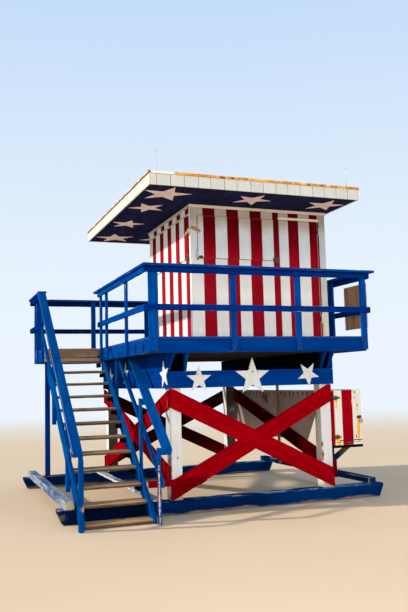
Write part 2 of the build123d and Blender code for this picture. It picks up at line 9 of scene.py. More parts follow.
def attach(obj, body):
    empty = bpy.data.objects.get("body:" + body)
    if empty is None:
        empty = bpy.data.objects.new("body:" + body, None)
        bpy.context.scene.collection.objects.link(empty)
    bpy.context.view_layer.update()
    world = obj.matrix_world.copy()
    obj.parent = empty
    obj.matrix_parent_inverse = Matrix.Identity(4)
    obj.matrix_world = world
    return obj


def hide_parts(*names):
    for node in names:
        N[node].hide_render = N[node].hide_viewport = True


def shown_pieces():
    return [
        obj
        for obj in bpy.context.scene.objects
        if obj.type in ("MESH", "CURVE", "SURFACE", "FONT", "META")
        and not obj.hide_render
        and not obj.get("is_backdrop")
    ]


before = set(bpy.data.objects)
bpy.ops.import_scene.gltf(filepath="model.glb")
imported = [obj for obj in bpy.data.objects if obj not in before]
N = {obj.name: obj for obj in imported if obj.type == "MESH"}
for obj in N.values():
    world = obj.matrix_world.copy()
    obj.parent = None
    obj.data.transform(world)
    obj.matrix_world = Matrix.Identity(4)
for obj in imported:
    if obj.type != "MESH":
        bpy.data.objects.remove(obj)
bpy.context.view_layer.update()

OX, OY = 1.391, 2.1975          # the layout frame's offset from the row frame


def L(x, y, z):
    return Vector((x - OX, y - OY, z))


# ============================================================ colours
def lin(c):
    out = []
    for v in c:
        v = v / 255.0
        out.append(v / 12.92 if v <= 0.04045 else ((v + 0.055) / 1.055) ** 2.4)
    return out


def C(r, g, b, e=1.0):
    """A screen colour seen under illumination e, as a surface colour."""
    return tuple(min(v / e, 0.92) for v in lin((r, g, b))) + (1.0,)


def scaled(c, k):
    return tuple(min(v * g, 0.92) for v, g in zip(c[:3], k)) + (1.0,)


# ============================================================ materials
class Mat:
    """Writes a material's nodes."""

    def __init__(s, name):
        s.m = bpy.data.materials.new(name)
        s.m.use_nodes = True
        s.t = s.m.node_tree
        s.t.nodes.clear()
        s.out = s.t.nodes.new("ShaderNodeOutputMaterial")
        s.b = s.t.nodes.new("ShaderNodeBsdfPrincipled")
        s.t.links.new(s.b.outputs[0], s.out.inputs[0])
        s._cache = {}

    def put(s, sock, v):
        if isinstance(v, bpy.types.NodeSocket):
            s.t.links.new(v, sock)
        else:
            sock.default_value = v

    def math(s, op, a, b=None, c=None, clamp=False):
        n = s.t.nodes.new("ShaderNodeMath")
        n.operation = op
        n.use_clamp = clamp
        for i, v in enumerate((a, b, c)):
            if v is not None:
                s.put(n.inputs[i], v)
        return n.outputs[0]

    def vec(s, op, a, b=None, scale=None):
        n = s.t.nodes.new("ShaderNodeVectorMath")
        n.operation = op
        s.put(n.inputs[0], a)
        if b is not None:
            s.put(n.inputs[1], b)
        if scale is not None:
            s.put(n.inputs["Scale"], scale)
        return n.outputs["Value"] if op in ("LENGTH", "DOT_PRODUCT", "DISTANCE") else n.outputs[0]

    def attr(s, name, out="Vector"):
        key = (name, out)
        if key not in s._cache:
            n = s.t.nodes.new("ShaderNodeAttribute")
            n.attribute_type = "GEOMETRY"
            n.attribute_name = name
            s._cache[key] = n.outputs[out]
        return s._cache[key]

    def obj(s):
        if "obj" not in s._cache:
            n = s.t.nodes.new("ShaderNodeTexCoord")
            s._cache["obj"] = n.outputs["Object"]
        return s._cache["obj"]

    def sep(s, v):
        n = s.t.nodes.new("ShaderNodeSeparateXYZ")
        s.put(n.inputs[0], v)
        return n.outputs[0], n.outputs[1], n.outputs[2]

    def noise(s, v, sc=(1, 1, 1), detail=3.0, rough=0.55, dist=0.0):
        n = s.t.nodes.new("ShaderNodeTexNoise")
        n.noise_dimensions = "3D"
        s.put(n.inputs["Vector"], s.vec("MULTIPLY", v, sc))
        n.inputs["Scale"].default_value = 1.0
        n.inputs["Detail"].default_value = detail
        n.inputs["Roughness"].default_value = rough
        n.inputs["Distortion"].default_value = dist
        return n.outputs[0]

    def ramp(s, x, a, b, lo=0.0, hi=1.0):
        """Smooth step of x from a to b, onto lo to hi."""
        n = s.t.nodes.new("ShaderNodeMapRange")
        n.interpolation_type = "SMOOTHSTEP"
        s.put(n.inputs[0], x)
        s.put(n.inputs[1], a)
        s.put(n.inputs[2], b)
        s.put(n.inputs[3], lo)
        s.put(n.inputs[4], hi)
        return n.outputs[0]

    def mix(s, f, a, b, mode="MIX"):
        n = s.t.nodes.new("ShaderNodeMix")
        n.data_type = "RGBA"
        n.blend_type = mode
        n.clamp_factor = True
        s.put(n.inputs[0], f)
        s.put(n.inputs[6], a)
        s.put(n.inputs[7], b)
        return n.outputs[2]

    def mul(s, *a):
        r = a[0]
        for v in a[1:]:
            r = s.math("MULTIPLY", r, v)
        return r

    def gain(s, col, k):
        """A colour made lighter or darker by k."""
        return s.vec("SCALE", col, scale=k)

    def plank(s):
        """(coordinates along and across this plank, shifted so that no two planks look alike; distance to its nearest long or end edge)."""
        if "plank" not in s._cache:
            g, h, r = s.attr("gco"), s.attr("hsz"), s.attr("rnd", "Fac")
            off = s.vec("SCALE", (37.1, 11.7, 23.3), scale=r)
            p = s.vec("ADD", g, off)
            d = s.vec("SUBTRACT", h, s.vec("ABSOLUTE", g))
            x, y, z = s.sep(d)
            e = s.math("MAXIMUM", s.math("MINIMUM", x, y),
                       s.math("MINIMUM", s.math("MAXIMUM", x, y), z))
            s._cache["plank"] = (p, e, x)
        return s._cache["plank"]

    def spot(s, col, c, r, tone, wild=0.55, freq=38.0, power=1.0):
        """A stain of the colour tone round the layout point c, with radii r."""
        q = s.vec("SUBTRACT", s.obj(), tuple(L(*c)))
        q = s.vec("MULTIPLY", q, (1 / r[0], 1 / r[1], 1 / r[2]))
        d = s.vec("LENGTH", q)
        key = ("spotn", freq)
        if key not in s._cache:
            s._cache[key] = s.noise(s.obj(), (freq, freq, freq), 3.0, 0.6)
        d = s.math("ADD", d, s.math("MULTIPLY", s.math("SUBTRACT", s._cache[key], 0.5), wild * 2.4))
        f = s.ramp(d, 1.05, 0.6)
        if power < 1.0:
            f = s.math("MULTIPLY", f, power)
        return s.mix(f, col, tone)

    def done(s, col, rough, height, dist=0.0015, strength=0.5, metal=None, spec=0.5):
        s.put(s.b.inputs["Base Color"], col)
        s.put(s.b.inputs["Roughness"], rough)
        s.b.inputs["Specular IOR Level"].default_value = spec
        if metal is not None:
            s.put(s.b.inputs["Metallic"], metal)
        if height is not None:
            n = s.t.nodes.new("ShaderNodeBump")
            n.inputs["Strength"].default_value = strength
            n.inputs["Distance"].default_value = dist
            s.put(n.inputs["Height"], height)
            s.t.links.new(n.outputs[0], s.b.inputs["Normal"])
        return s.m


def paint(name, base, faded, deep, under, primer=None, fade=(0.40, 0.66), streak=0.45, edge=0.007,
          wear=0.5, chips=0.70, sand=0.0, rough=(0.45, 0.65), tone=0.16, spots=(), stripe=None, extra=None, spec=0.0,
          cal=(1, 1, 1), cal2=(1, 1, 1)):
    """Weathered gloss paint on a sawn plank."""
    m = Mat(name)
    base, faded, deep = (scaled(c, cal) for c in (base, faded, deep))
    if stripe is not None:
        stripe = {k: scaled(c, cal2) for k, c in stripe.items()}
    p, e, endd = m.plank()
    r = m.attr("rnd", "Fac")
    grain = m.noise(p, (4, 95, 95), 4, 0.6)
    brush = m.noise(p, (1.3, 30, 30), 3, 0.6)
    blot = m.noise(p, (1.5, 6, 6), 4, 0.6, 0.4)
    col = m.mix(m.ramp(blot, fade[0], fade[1]), base, faded)
    if stripe is not None:
        b2 = m.mix(m.ramp(blot, fade[0], fade[1]), stripe["base"], stripe["faded"])
        deep2 = stripe["deep"]
        t = m.attr("tint", "Fac")
        col = m.mix(t, col, b2)
        deep = m.mix(t, deep, deep2)
    col = m.mix(m.math("MULTIPLY", m.ramp(brush, 0.46, 0.72), streak), col, deep)
    col = m.gain(col, m.math("MULTIPLY_ADD", r, tone, 1.0 - tone * 0.5))
    col = m.gain(col, m.math("MULTIPLY_ADD", grain, 0.22, 0.89))
    # worn edges, in patches, through the primer to the wood
    wn = m.noise(p, (16, 46, 46), 4, 0.65)
    patch = m.ramp(m.noise(p, (1.4, 4, 4), 3, 0.6), 0.60 - 0.2 * wear, 0.78 - 0.2 * wear)
    ee = m.math("ADD", e, m.math("MULTIPLY", m.math("SUBTRACT", wn, 0.52), edge * 3.0))
    worn = m.mul(m.ramp(ee, edge, edge * 0.35), patch)
    cn = m.noise(p, (10, 26, 26), 6, 0.62)
    chip = m.ramp(cn, chips, chips + 0.025)
    worn = m.math("MAXIMUM", worn, chip)
    bare = m.mix(m.ramp(grain, 0.35, 0.65), under, primer or under)
    col = m.mix(worn, col, bare)
    x, y, z = m.sep(m.obj())
    if sand > 0:
        f = m.math("MULTIPLY", m.ramp(m.math("ADD", z, m.math("MULTIPLY", m.math("SUBTRACT", wn, 0.5), 0.35)), 0.34, 0.02), sand)
        col = m.mix(f, col, C(176, 152, 122))
    for c, rr, tn, *rest in spots:
        col = m.spot(col, c, rr, tn, *(rest or ()))
    if extra is not None:
        col = extra(m, col)
    ro = m.math("ADD", m.math("MULTIPLY", blot, rough[1] - rough[0]), rough[0])
    ro = m.math("ADD", ro, m.math("MULTIPLY", worn, 0.25), clamp=True)
    h = m.math("ADD", m.math("MULTIPLY", grain, 0.6), m.math("MULTIPLY", brush, 0.5))
    h = m.math("SUBTRACT", h, m.math("MULTIPLY", worn, 0.7))
    return m.done(col, ro, h, 0.0012, 0.55, spec=spec)


def timber(name, a, b, c, knot, edge_tone, rough=(0.62, 0.85), tone=0.3, ring=26.0, spots=(), extra=None, sand=0.0, cal=(1, 1, 1)):
    """Bare weathered timber: grain streaks, knots, cracks and lighter worn edges."""
    m = Mat(name)
    a, b, c, knot, edge_tone = (scaled(q, cal) for q in (a, b, c, knot, edge_tone))
    p, e, endd = m.plank()
    r = m.attr("rnd", "Fac")
    warp = m.noise(p, (0.9, 7, 7), 3, 0.5)
    px, py, pz = m.sep(p)
    wave = m.math("SINE", m.math("ADD", m.math("MULTIPLY", m.math("ADD", py, m.math("MULTIPLY", pz, 0.8)), ring * 6.0),
                                 m.math("MULTIPLY", warp, 26.0)))
    grain = m.noise(p, (3.5, 85, 85), 5, 0.65)
    fine = m.noise(p, (9, 240, 240), 3, 0.6)
    blot = m.noise(p, (1.3, 5, 5), 4, 0.6, 0.3)
    col = m.mix(m.ramp(blot, 0.34, 0.68), a, b)
    col = m.mix(m.mul(m.ramp(wave, -0.2, 1.0), 0.42), col, c)
    col = m.mix(m.mul(m.ramp(grain, 0.48, 0.72), 0.6), col, c)
    col = m.gain(col, m.math("MULTIPLY_ADD", r, tone, 1.0 - tone * 0.5))
    col = m.gain(col, m.math("MULTIPLY_ADD", fine, 0.36, 0.82))
    # knots
    v = m.t.nodes.new("ShaderNodeTexVoronoi")
    v.feature = "F1"
    m.put(v.inputs["Vector"], m.vec("MULTIPLY", p, (1.3, 4.6, 4.6)))
    v.inputs["Scale"].default_value = 1.0
    kn = m.ramp(v.outputs[0], 0.13, 0.07)
    col = m.mix(m.mul(kn, 0.75), col, knot)
    # cracks along the grain
    ck = m.noise(p, (2.2, 60, 60), 2, 0.5)
    crack = m.ramp(m.math("ABSOLUTE", m.math("SUBTRACT", ck, 0.5)), 0.010, 0.002)
    crack = m.mul(crack, m.ramp(blot, 0.45, 0.6))
    col = m.mix(m.mul(crack, 0.7), col, knot)
    # worn rounded edges and dark end grain
    wn = m.noise(p, (18, 50, 50), 3, 0.6)
    ee = m.math("ADD", e, m.math("MULTIPLY", m.math("SUBTRACT", wn, 0.5), 0.016))
    col = m.mix(m.mul(m.ramp(ee, 0.010, 0.002), 0.7), col, edge_tone)
    x, y, z = m.sep(m.obj())
    if sand > 0:
        f = m.mul(m.ramp(m.math("ADD", z, m.math("MULTIPLY", m.math("SUBTRACT", wn, 0.5), 0.5)), 0.7, 0.02), sand)
        col = m.mix(f, col, C(196, 170, 138))
    for cc, rr, tn, *rest in spots:
        col = m.spot(col, cc, rr, tn, *(rest or ()))
    if extra is not None:
        col = extra(m, col)
    ro = m.math("ADD", m.math("MULTIPLY", grain, rough[1] - rough[0]), rough[0])
    h = m.math("ADD", m.math("MULTIPLY", grain, 0.7), m.math("MULTIPLY", wave, 0.12))
    h = m.math("SUBTRACT", h, m.math("MULTIPLY", crack, 1.2))
    return m.done(col, ro, h, 0.002, 0.6, spec=0.15)


def rusty(name, sound, rust, dark, amount=0.5, scale=30.0, metal=0.3, rough=(0.5, 0.85), spots=(), extra=None):
    """Steel with rust in blooms over what is left of its finish."""
    m = Mat(name)
    o = m.obj()
    a = m.noise(o, (scale, scale, scale * 0.8), 6, 0.65, 0.5)
    b = m.noise(o, (scale * 3.1,) * 3, 4, 0.6)
    big = m.noise(o, (2.3, 2.3, 2.3), 3, 0.5)
    col = m.mix(m.ramp(b, 0.35, 0.7), rust, dark)
    f = m.ramp(m.math("ADD", a, m.math("MULTIPLY", big, 0.35)), 0.86 - amount * 0.5, 0.74 - amount * 0.5)
    col = m.mix(f, col, sound)
    for cc, rr, tn, *rest in spots:
        col = m.spot(col, cc, rr, tn, *(rest or ()))
    if extra is not None:
        col = extra(m, col)
    ro = m.math("ADD", m.math("MULTIPLY", b, rough[1] - rough[0]), rough[0])
    mt = m.math("MULTIPLY", f, metal)
    return m.done(col, ro, m.math("ADD", a, m.math("MULTIPLY", b, 0.4)), 0.0012, 0.7, metal=mt)


# ============================================================ meshes
def box_bm(x0, x1, y0, y1, z0, z1):
    bm = bmesh.new()
    v = [bm.verts.new(L(x, y, z)) for x in (x0, x1) for y in (y0, y1) for z in (z0, z1)]
    for f in ((0, 1, 3, 2), (4, 6, 7, 5), (0, 4, 5, 1), (2, 3, 7, 6), (0, 2, 6, 4), (1, 5, 7, 3)):
        bm.faces.new([v[i] for i in f])
    bmesh.ops.recalc_face_normals(bm, faces=bm.faces[:])
    return bm


def prism_bm(pts, d):
    """A prism from a closed outline of row-frame points, along the vector d."""
    bm = bmesh.new()
    a = [bm.verts.new(q) for q in pts]
    b = [bm.verts.new(Vector(q) + d) for q in pts]
    bm.faces.new(a)
    bm.faces.new(b[::-1])
    n = len(pts)
    for i in range(n):
        bm.faces.new((a[i], b[i], b[(i + 1) % n], a[(i + 1) % n]))
    bmesh.ops.recalc_face_normals(bm, faces=bm.faces[:])
    return bm


def tube_bm(path, r, sides=10, cap=True, taper=None):
    """A round bar along row-frame points."""
    bm = bmesh.new()
    rings = []
    up = Vector((0, 0, 1))
    for i, q in enumerate(path):
        q = Vector(q)
        t = (Vector(path[min(i + 1, len(path) - 1)]) - Vector(path[max(i - 1, 0)])).normalized()
        s = t.cross(up) if abs(t.dot(up)) < 0.95 else t.cross(Vector((0, 1, 0)))
        s.normalize()
        u = s.cross(t).normalized()
        rr = r if taper is None else r * taper[i]
        rings.append([bm.verts.new(q + s * rr * math.cos(2 * math.pi * k / sides) + u * rr * math.sin(2 * math.pi * k / sides))
                      for k in range(sides)])
    for i in range(len(rings) - 1):
        for k in range(sides):
            bm.faces.new((rings[i][k], rings[i][(k + 1) % sides], rings[i + 1][(k + 1) % sides], rings[i + 1][k]))
    if cap:
        bm.faces.new(rings[0][::-1])
        bm.faces.new(rings[-1])
    bmesh.ops.recalc_face_normals(bm, faces=bm.faces[:])
    return bm


def axes_of(bm):
    """The plank's own directions: along its longest edge, across it, and through it."""
    es = sorted(((e.verts[1].co - e.verts[0].co) for e in bm.edges), key=lambda d: -d.length)
    g = es[0].normalized()
    k = max(range(3), key=lambda i: abs(g[i]))
    if g[k] < 0:
        g = -g
    v = None
    for d in es[1:]:
        q = d - g * d.dot(g)
        if q.length > 0.35 * d.length and q.length > 1e-4:
            v = q.normalized()
            break
    if v is None:
        v = g.orthogonal().normalized()
    k = max(range(3), key=lambda i: abs(v[i]))
    if v[k] < 0:
        v = -v
    return g, v, g.cross(v).normalized()


def work_bm(bm, bev, seg, wob, chip, seed, segs=1, axes=None):
    """Rounds a plank's edges, cuts it into short lengths and wears it."""
    g, v, w = axes or axes_of(bm)
    if bev > 0:
        edges = [e for e in bm.edges if len(e.link_faces) == 2 and e.calc_face_angle(0) > 0.25]
        bmesh.ops.bevel(bm, geom=edges, offset=bev, offset_type="OFFSET", segments=segs, profile=0.6,
                        affect="EDGES", clamp_overlap=True)
    ds = [q.co.dot(g) for q in bm.verts]
    lo, hi = min(ds), max(ds)
    n = int((hi - lo) / seg) if seg > 0 else 0
    rng = random.Random(seed)
    for i in range(1, n):
        d = lo + (hi - lo) * (i + rng.uniform(-0.25, 0.25)) / n
        bmesh.ops.bisect_plane(bm, geom=bm.verts[:] + bm.edges[:] + bm.faces[:], dist=1e-5, plane_co=g * d, plane_no=g)
    bs = [q.co.dot(v) for q in bm.verts]
    cs = [q.co.dot(w) for q in bm.verts]
    mb, mc, ma = (min(bs) + max(bs)) / 2, (min(cs) + max(cs)) / 2, (lo + hi) / 2
    hb, hc, ha = (max(bs) - min(bs)) / 2, (max(cs) - min(cs)) / 2, (hi - lo) / 2
    if wob > 0 or chip > 0:
        off = Vector((seed * 1.37 % 91, seed * 2.11 % 73, seed * 0.77 % 57))
        for q in bm.verts:
            a, b, c = q.co.dot(g) - ma, q.co.dot(v) - mb, q.co.dot(w) - mc
            nb = noise.noise(Vector((a * 2.1, 3.0 if b > 0 else -3.0, 7.0)) + off) * 0.5 + 0.5
            nc = noise.noise(Vector((a * 2.1, 11.0, 5.0 if c > 0 else -5.0)) + off) * 0.5 + 0.5
            sb = wob * nb if abs(b) > 0.8 * hb else 0.0
            sc = wob * nc if abs(c) > 0.8 * hc else 0.0
            if chip > 0 and abs(b) > hb - 2.2 * bev - 1e-4 and abs(c) > hc - 2.2 * bev - 1e-4:
                k = noise.noise(Vector((a * 7.3, b * 9.0, c * 9.0)) + off * 1.7)
                if k > 0.28:
                    kk = min(1.0, (k - 0.28) / 0.3)
                    sb += chip * kk * 0.8
                    sc += chip * kk
            q.co += v * (-math.copysign(min(sb, hb * 0.3), b)) + w * (-math.copysign(min(sc, hc * 0.3), c))
    return (g, v, w), (ma, mb, mc), (ha, hb, hc)


class Piece:
    """Gathers closed solids, each with its own grain frame, into one mesh."""

    def __init__(s, name, seed=0):
        s.name, s.v, s.f, s.g, s.h, s.r, s.t, s.m, s.sm = name, [], [], [], [], [], [], [], []
        s.rng = random.Random(seed * 7919 + len(name))
        s.k = seed * 100

    def add(s, bm, bev=0.004, seg=0.14, wob=0.0012, chip=0.003, tint=0.0, mat=0, segs=1, axes=None, smooth=False, rnd=None):
        s.k += 1
        ax, mid, half = work_bm(bm, bev, seg, wob, chip, s.k, segs, axes)
        rnd = s.rng.random() if rnd is None else rnd
        base = len(s.v)
        bm.verts.index_update()
        for q in bm.verts:
            s.v.append(q.co[:])
            s.g.extend((q.co.dot(ax[0]) - mid[0], q.co.dot(ax[1]) - mid[1], q.co.dot(ax[2]) - mid[2]))
            s.h.extend(half)
            s.r.append(rnd)
            s.t.append(tint)
        for f in bm.faces:
            s.f.append([base + q.index for q in f.verts])
            s.m.append(mat)
            s.sm.append(smooth)
        bm.free()

    def box(s, x0, x1, y0, y1, z0, z1, **k):
        s.add(box_bm(x0, x1, y0, y1, z0, z1), **k)

    def dome(s, c, n, r, h=0.003, sides=8, mat=0, tint=0.0):
        """A low round bolt or nail head at the layout point c, facing n."""
        n = Vector(n).normalized()
        c = L(*c)
        a = n.orthogonal().normalized()
        b = n.cross(a)
        bm = bmesh.new()
        rings = []
        for rr, hh in ((1.0, -0.001), (1.0, h * 0.35), (0.62, h * 0.85)):
            rings.append([bm.verts.new(c + (a * math.cos(2 * math.pi * k / sides) + b * math.sin(2 * math.pi * k / sides)) * r * rr + n * hh)
                          for k in range(sides)])
        top = bm.verts.new(c + n * h)
        for i in range(2):
            for k in range(sides):
                bm.faces.new((rings[i][k], rings[i][(k + 1) % sides], rings[i + 1][(k + 1) % sides], rings[i + 1][k]))
        for k in range(sides):
            bm.faces.new((rings[2][k], rings[2][(k + 1) % sides], top))
        bm.faces.new(rings[0][::-1])
        bmesh.ops.recalc_face_normals(bm, faces=bm.faces[:])
        s.add(bm, bev=0, seg=0, wob=0, chip=0, mat=mat, tint=tint, smooth=True, axes=(a, b, n))

    def end(s, mats, body="tower", slot=None, nodes=()):
        me = bpy.data.meshes.new(s.name)
        me.from_pydata(s.v, [], s.f)
        for nm, kind, data, key in (("gco", "FLOAT_VECTOR", s.g, "vector"), ("hsz", "FLOAT_VECTOR", s.h, "vector"),
                                    ("rnd", "FLOAT", s.r, "value"), ("tint", "FLOAT", s.t, "value")):
            at = me.attributes.new(nm, kind, "POINT")
            at.data.foreach_set(key, data)
        me.polygons.foreach_set("material_index", s.m)
        me.polygons.foreach_set("use_smooth", s.sm)
        me.update()
        o = bpy.data.objects.new(s.name, me)
        bpy.context.scene.collection.objects.link(o)
        for q in (mats if isinstance(mats, (list, tuple)) else [mats]):
            me.materials.append(q)
        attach(o, body)
        if nodes:
            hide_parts(*nodes)
        return o


def islands(node):
    """The separate closed solids of a CAD node, as meshes with flat faces whole."""
    bm = bmesh.new()
    bm.from_mesh(N[node].data)
    bmesh.ops.remove_doubles(bm, verts=bm.verts[:], dist=1e-5)
    bmesh.ops.dissolve_limit(bm, angle_limit=0.01, verts=bm.verts[:], edges=bm.edges[:])
    bm.verts.ensure_lookup_table()
    seen, out = set(), []
    for v0 in bm.verts:
        if v0.index in seen:
            continue
        stack, mine = [v0], []
        seen.add(v0.index)
        while stack:
            q = stack.pop()
            mine.append(q)
            for e in q.link_edges:
                o = e.other_vert(q)
                if o.index not in seen:
                    seen.add(o.index)
                    stack.append(o)
        faces = {f for q in mine for f in q.link_faces}
        nb = bmesh.new()
        m = {q.index: nb.verts.new(q.co) for q in mine}
        for f in sorted(faces, key=lambda f: f.index):
            nb.faces.new([m[q.index] for q in f.verts])
        bmesh.ops.recalc_face_normals(nb, faces=nb.faces[:])
        out.append(nb)
    bm.free()
    return out


def centre(bm):
    c = Vector((0, 0, 0))
    for q in bm.verts:
        c += q.co
    return c / len(bm.verts)


SEED = [0]


def worked(node, mats, slot, body="tower", pick=None, **k):
    """A CAD node's solids, each worked as a worn plank."""
    SEED[0] += 1
    p = Piece(node + "_w", SEED[0])
    for b in islands(node):
        kk = dict(k)
        if pick is not None:
            c = centre(b)
            kk["mat"] = pick(c.x + OX, c.y + OY, c.z)
        p.add(b, **kk)
    return p.end(mats, body, slot, [node])


# ============================================================ materials used
# how far each finish is lightened or darkened to sit right under the studio light
K = dict(
    BLUE=(0.2, 0.66, 0.76), RAIL=(0.1, 0.40, 0.57), POSTB=(0.2, 0.92, 0.92), HAND=(0.1, 0.72, 0.80), RIM=(0.1, 0.68, 0.76), SKID=(0.4, 0.72, 0.70),
    TIE=(1.8, 1.42, 1.0), RED=(0.86, 0.3, 0.6), LEG=(0.93, 0.91, 0.89), STAR=(0.84, 0.87, 0.91), WALLW=(1.14, 1.09, 1.02), WALLR=(1.07, 1.0, 0.95),
    LOCKW=(0.88, 0.87, 0.80), LOCKR=(0.92, 0.4, 0.7), FASC=(0.82, 0.81, 0.78), TRIM=(1.0, 1.0, 1.0), NAVY=(1.6, 1.6, 1.7), STAN=(1.20, 1.28, 1.42),
    TREAD=(0.68, 0.56, 0.46), LFASC=(1.35, 1.25, 1.12), POST=(1.0, 1.0, 1.0), PANEL=(2.6, 2.6, 2.5), BOARD=(1.40, 1.22, 0.94))
RUST = C(176, 98, 28)
RUSTD = C(92, 44, 16)
YRUST = C(236, 168, 40)
CREAM = C(222, 205, 170)
WOODU = C(150, 128, 100)
GREYW = C(140, 130, 118)
DARKW = C(40, 32, 26)


def in_box(m, x=None, y=None, z=None, soft=0.002):
    """1 inside the layout box, whose open sides are None."""
    ox, oy, oz = m.sep(m.obj())
    f = None
    for v, lim, off in ((ox, x, OX), (oy, y, OY), (oz, z, 0.0)):
        if lim is None:
            continue
        a, b = lim
        for edge, s in ((a, 1), (b, -1)):
            if edge is None:
                continue
            e = edge - off
            g = m.ramp(v, e - soft, e + soft) if s > 0 else m.ramp(v, e + soft, e - soft)
            f = g if f is None else m.math("MULTIPLY", f, g)
    return f


BLUE = paint("blue_gloss", C(1, 60, 138), C(3, 72, 150), C(1, 48, 120), WOODU, CREAM, wear=0.25, chips=0.76, edge=0.005, cal=K["BLUE"])


def stringer_painted_shade(m, col):
    """Painted shade: the stringers' faces under the deck are painted near black."""
    return m.mix(in_box(m, x=(0.4015, 3.0625), z=(None, 2.30)), col, C(8, 12, 24))


STRBLUE = paint("stringer_blue", C(1, 60, 138), C(3, 72, 150), C(1, 48, 120), WOODU, CREAM, wear=0.25, chips=0.76, edge=0.005, cal=K["BLUE"],
                extra=stringer_painted_shade, spots=[
                    ((0.040, 0.635, 0.399), (0.05, 0.055, 0.022), C(224, 196, 146), 1.2, 40.0, 0.95),
                    ((0.040, 0.789, 0.479), (0.05, 0.030, 0.022), C(224, 190, 130), 1.2, 44.0, 0.9),
                    ((0.040, 0.500, 0.340), (0.05, 0.030, 0.030), C(224, 170, 100), 1.2, 44.0, 0.9),
                    ((0.040, 0.384, 0.330), (0.05, 0.050, 0.022), C(222, 184, 124), 1.2, 40.0, 0.9),
                    ((0.040, 0.246, 0.206), (0.05, 0.030, 0.030), C(206, 150, 90), 1.2, 40.0, 0.9),
                    ((0.040, 0.120, 0.100), (0.05, 0.030, 0.040), C(206, 150, 90), 1.2, 40.0, 0.8)])
# Painted shade: the inner stringers are painted near black for the shade under the deck.
INNER_SHADE_BLUE = paint("inner_stringer_painted_shade", C(5, 10, 24), C(10, 18, 36), C(2, 6, 14), DARKW, WOODU, wear=0.3, chips=0.76, edge=0.005)
def rail_painted_light_shade(m, col):
    """Painted shade under the cap's overhang and on the landing's far rails; painted sunlight makes the deck's left
    rails lighter.
    """
    x, y, z = m.sep(m.obj())
    col = m.mix(m.mul(m.ramp(z, 3.455, 3.480), m.ramp(z, 3.4935, 3.4915), 0.88), col, C(0, 18, 48))
    # Painted sunlight: the deck's left rails are painted lighter where the sun falls on them.
    side = m.mul(m.ramp(x, -0.036 - OX, -0.040 - OX), m.ramp(x, -0.100 - OX, -0.090 - OX), m.ramp(z, 2.6, 2.7), m.ramp(y, -0.03 - OY, 0.0 - OY))
    col = m.mix(side, col, m.vec("MULTIPLY", col, (2.0, 2.6, 1.7)))
    return m.mix(m.mul(m.ramp(y, 4.25 - OY, 4.40 - OY), m.ramp(x, 1.2 - OX, 0.4 - OX), 0.6), col, C(2, 18, 44))


RAILBLUE = paint("rail_blue", C(1, 58, 134), C(3, 70, 148), C(1, 44, 112), C(120, 134, 150), C(196, 200, 196), wear=0.25, chips=0.755,
                 edge=0.005, cal=K["RAIL"], extra=rail_painted_light_shade)
CAPBLUE = paint("cap_blue", C(1, 62, 140), C(3, 74, 152), C(1, 50, 122), C(120, 134, 150), C(196, 200, 196), wear=0.25, chips=0.755,
                edge=0.005, cal=K["POSTB"])


def post_extra(m, col):
    """Rust has run from the bolts at the posts' feet."""
    for x, z, k in ((0.115, 2.345, 0.7), (1.300, 2.350, 0.95), (1.262, 2.400, 0.7), (2.318, 2.360, 0.95), (2.345, 2.42, 0.7), (3.492, 2.360, 0.95), (3.425, 2.42, 0.6),
                    (3.480, 2.47, 0.7), (0.03, 2.46, 0.5)):
        col = m.spot(col, (x, -0.038, z), (0.017, 0.03, 0.038), C(44, 30, 24), 0.7, 44.0, k)
    return col


POSTBLUE = paint("post_blue", C(1, 62, 138), C(3, 74, 152), C(1, 48, 116), C(120, 134, 150), C(196, 200, 196), wear=0.25, chips=0.755,
                 edge=0.005, cal=K["POSTB"], extra=post_extra)


def land_extra(m, col):
    """The landing's tall post stands in the stair's shade; the left handrail is rubbed pale along its outer edge."""
    up = m.t.nodes.new("ShaderNodeNewGeometry")
    nz = m.sep(up.outputs["True Normal"])[2]
    x, y, z = m.sep(m.obj())
    n = m.noise(m.obj(), (30, 3.0, 3.0), 4, 0.6)
    q = m.math("ADD", m.math("ABSOLUTE", m.math("SUBTRACT", x, -1.078 - OX)), m.math("MULTIPLY", m.math("SUBTRACT", n, 0.5), 0.016))
    col = m.mix(m.mul(m.ramp(q, 0.008, 0.003), m.ramp(nz, 0.4, 0.6), m.ramp(z, 3.05, 2.70, 0.1, 0.4)), col, C(176, 172, 190))
    return m.mix(m.mul(in_box(m, x=(-1.2, -0.6), y=(3.0, 4.6), z=(None, 2.28)), 0.85), col, C(1, 16, 46))


HANDBLUE = paint("hand_blue", C(3, 74, 140), C(8, 92, 160), C(2, 56, 118), C(60, 104, 150), C(196, 206, 210), wear=0.2, chips=0.757,
                 edge=0.003, cal=K["HAND"], extra=land_extra, spots=[
                     ((0.062, -0.143, 0.62), (0.012, 0.024, 0.16), C(232, 186, 120), 1.7, 34.0, 0.95),
                     ((0.064, -0.143, 0.30), (0.013, 0.024, 0.28), C(232, 166, 90), 1.7, 30.0, 0.95),
                     ((0.030, 0.36, 0.47), (0.03, 0.06, 0.035), C(214, 176, 120), 1.2, 40.0, 0.9),
                     ((0.030, 0.20, 0.36), (0.03, 0.05, 0.03), C(214, 176, 120), 1.2, 40.0, 0.8),
                     ((-0.93, -0.15, 0.30), (0.06, 0.02, 0.05), C(190, 160, 110), 1.2, 40.0, 0.7)])


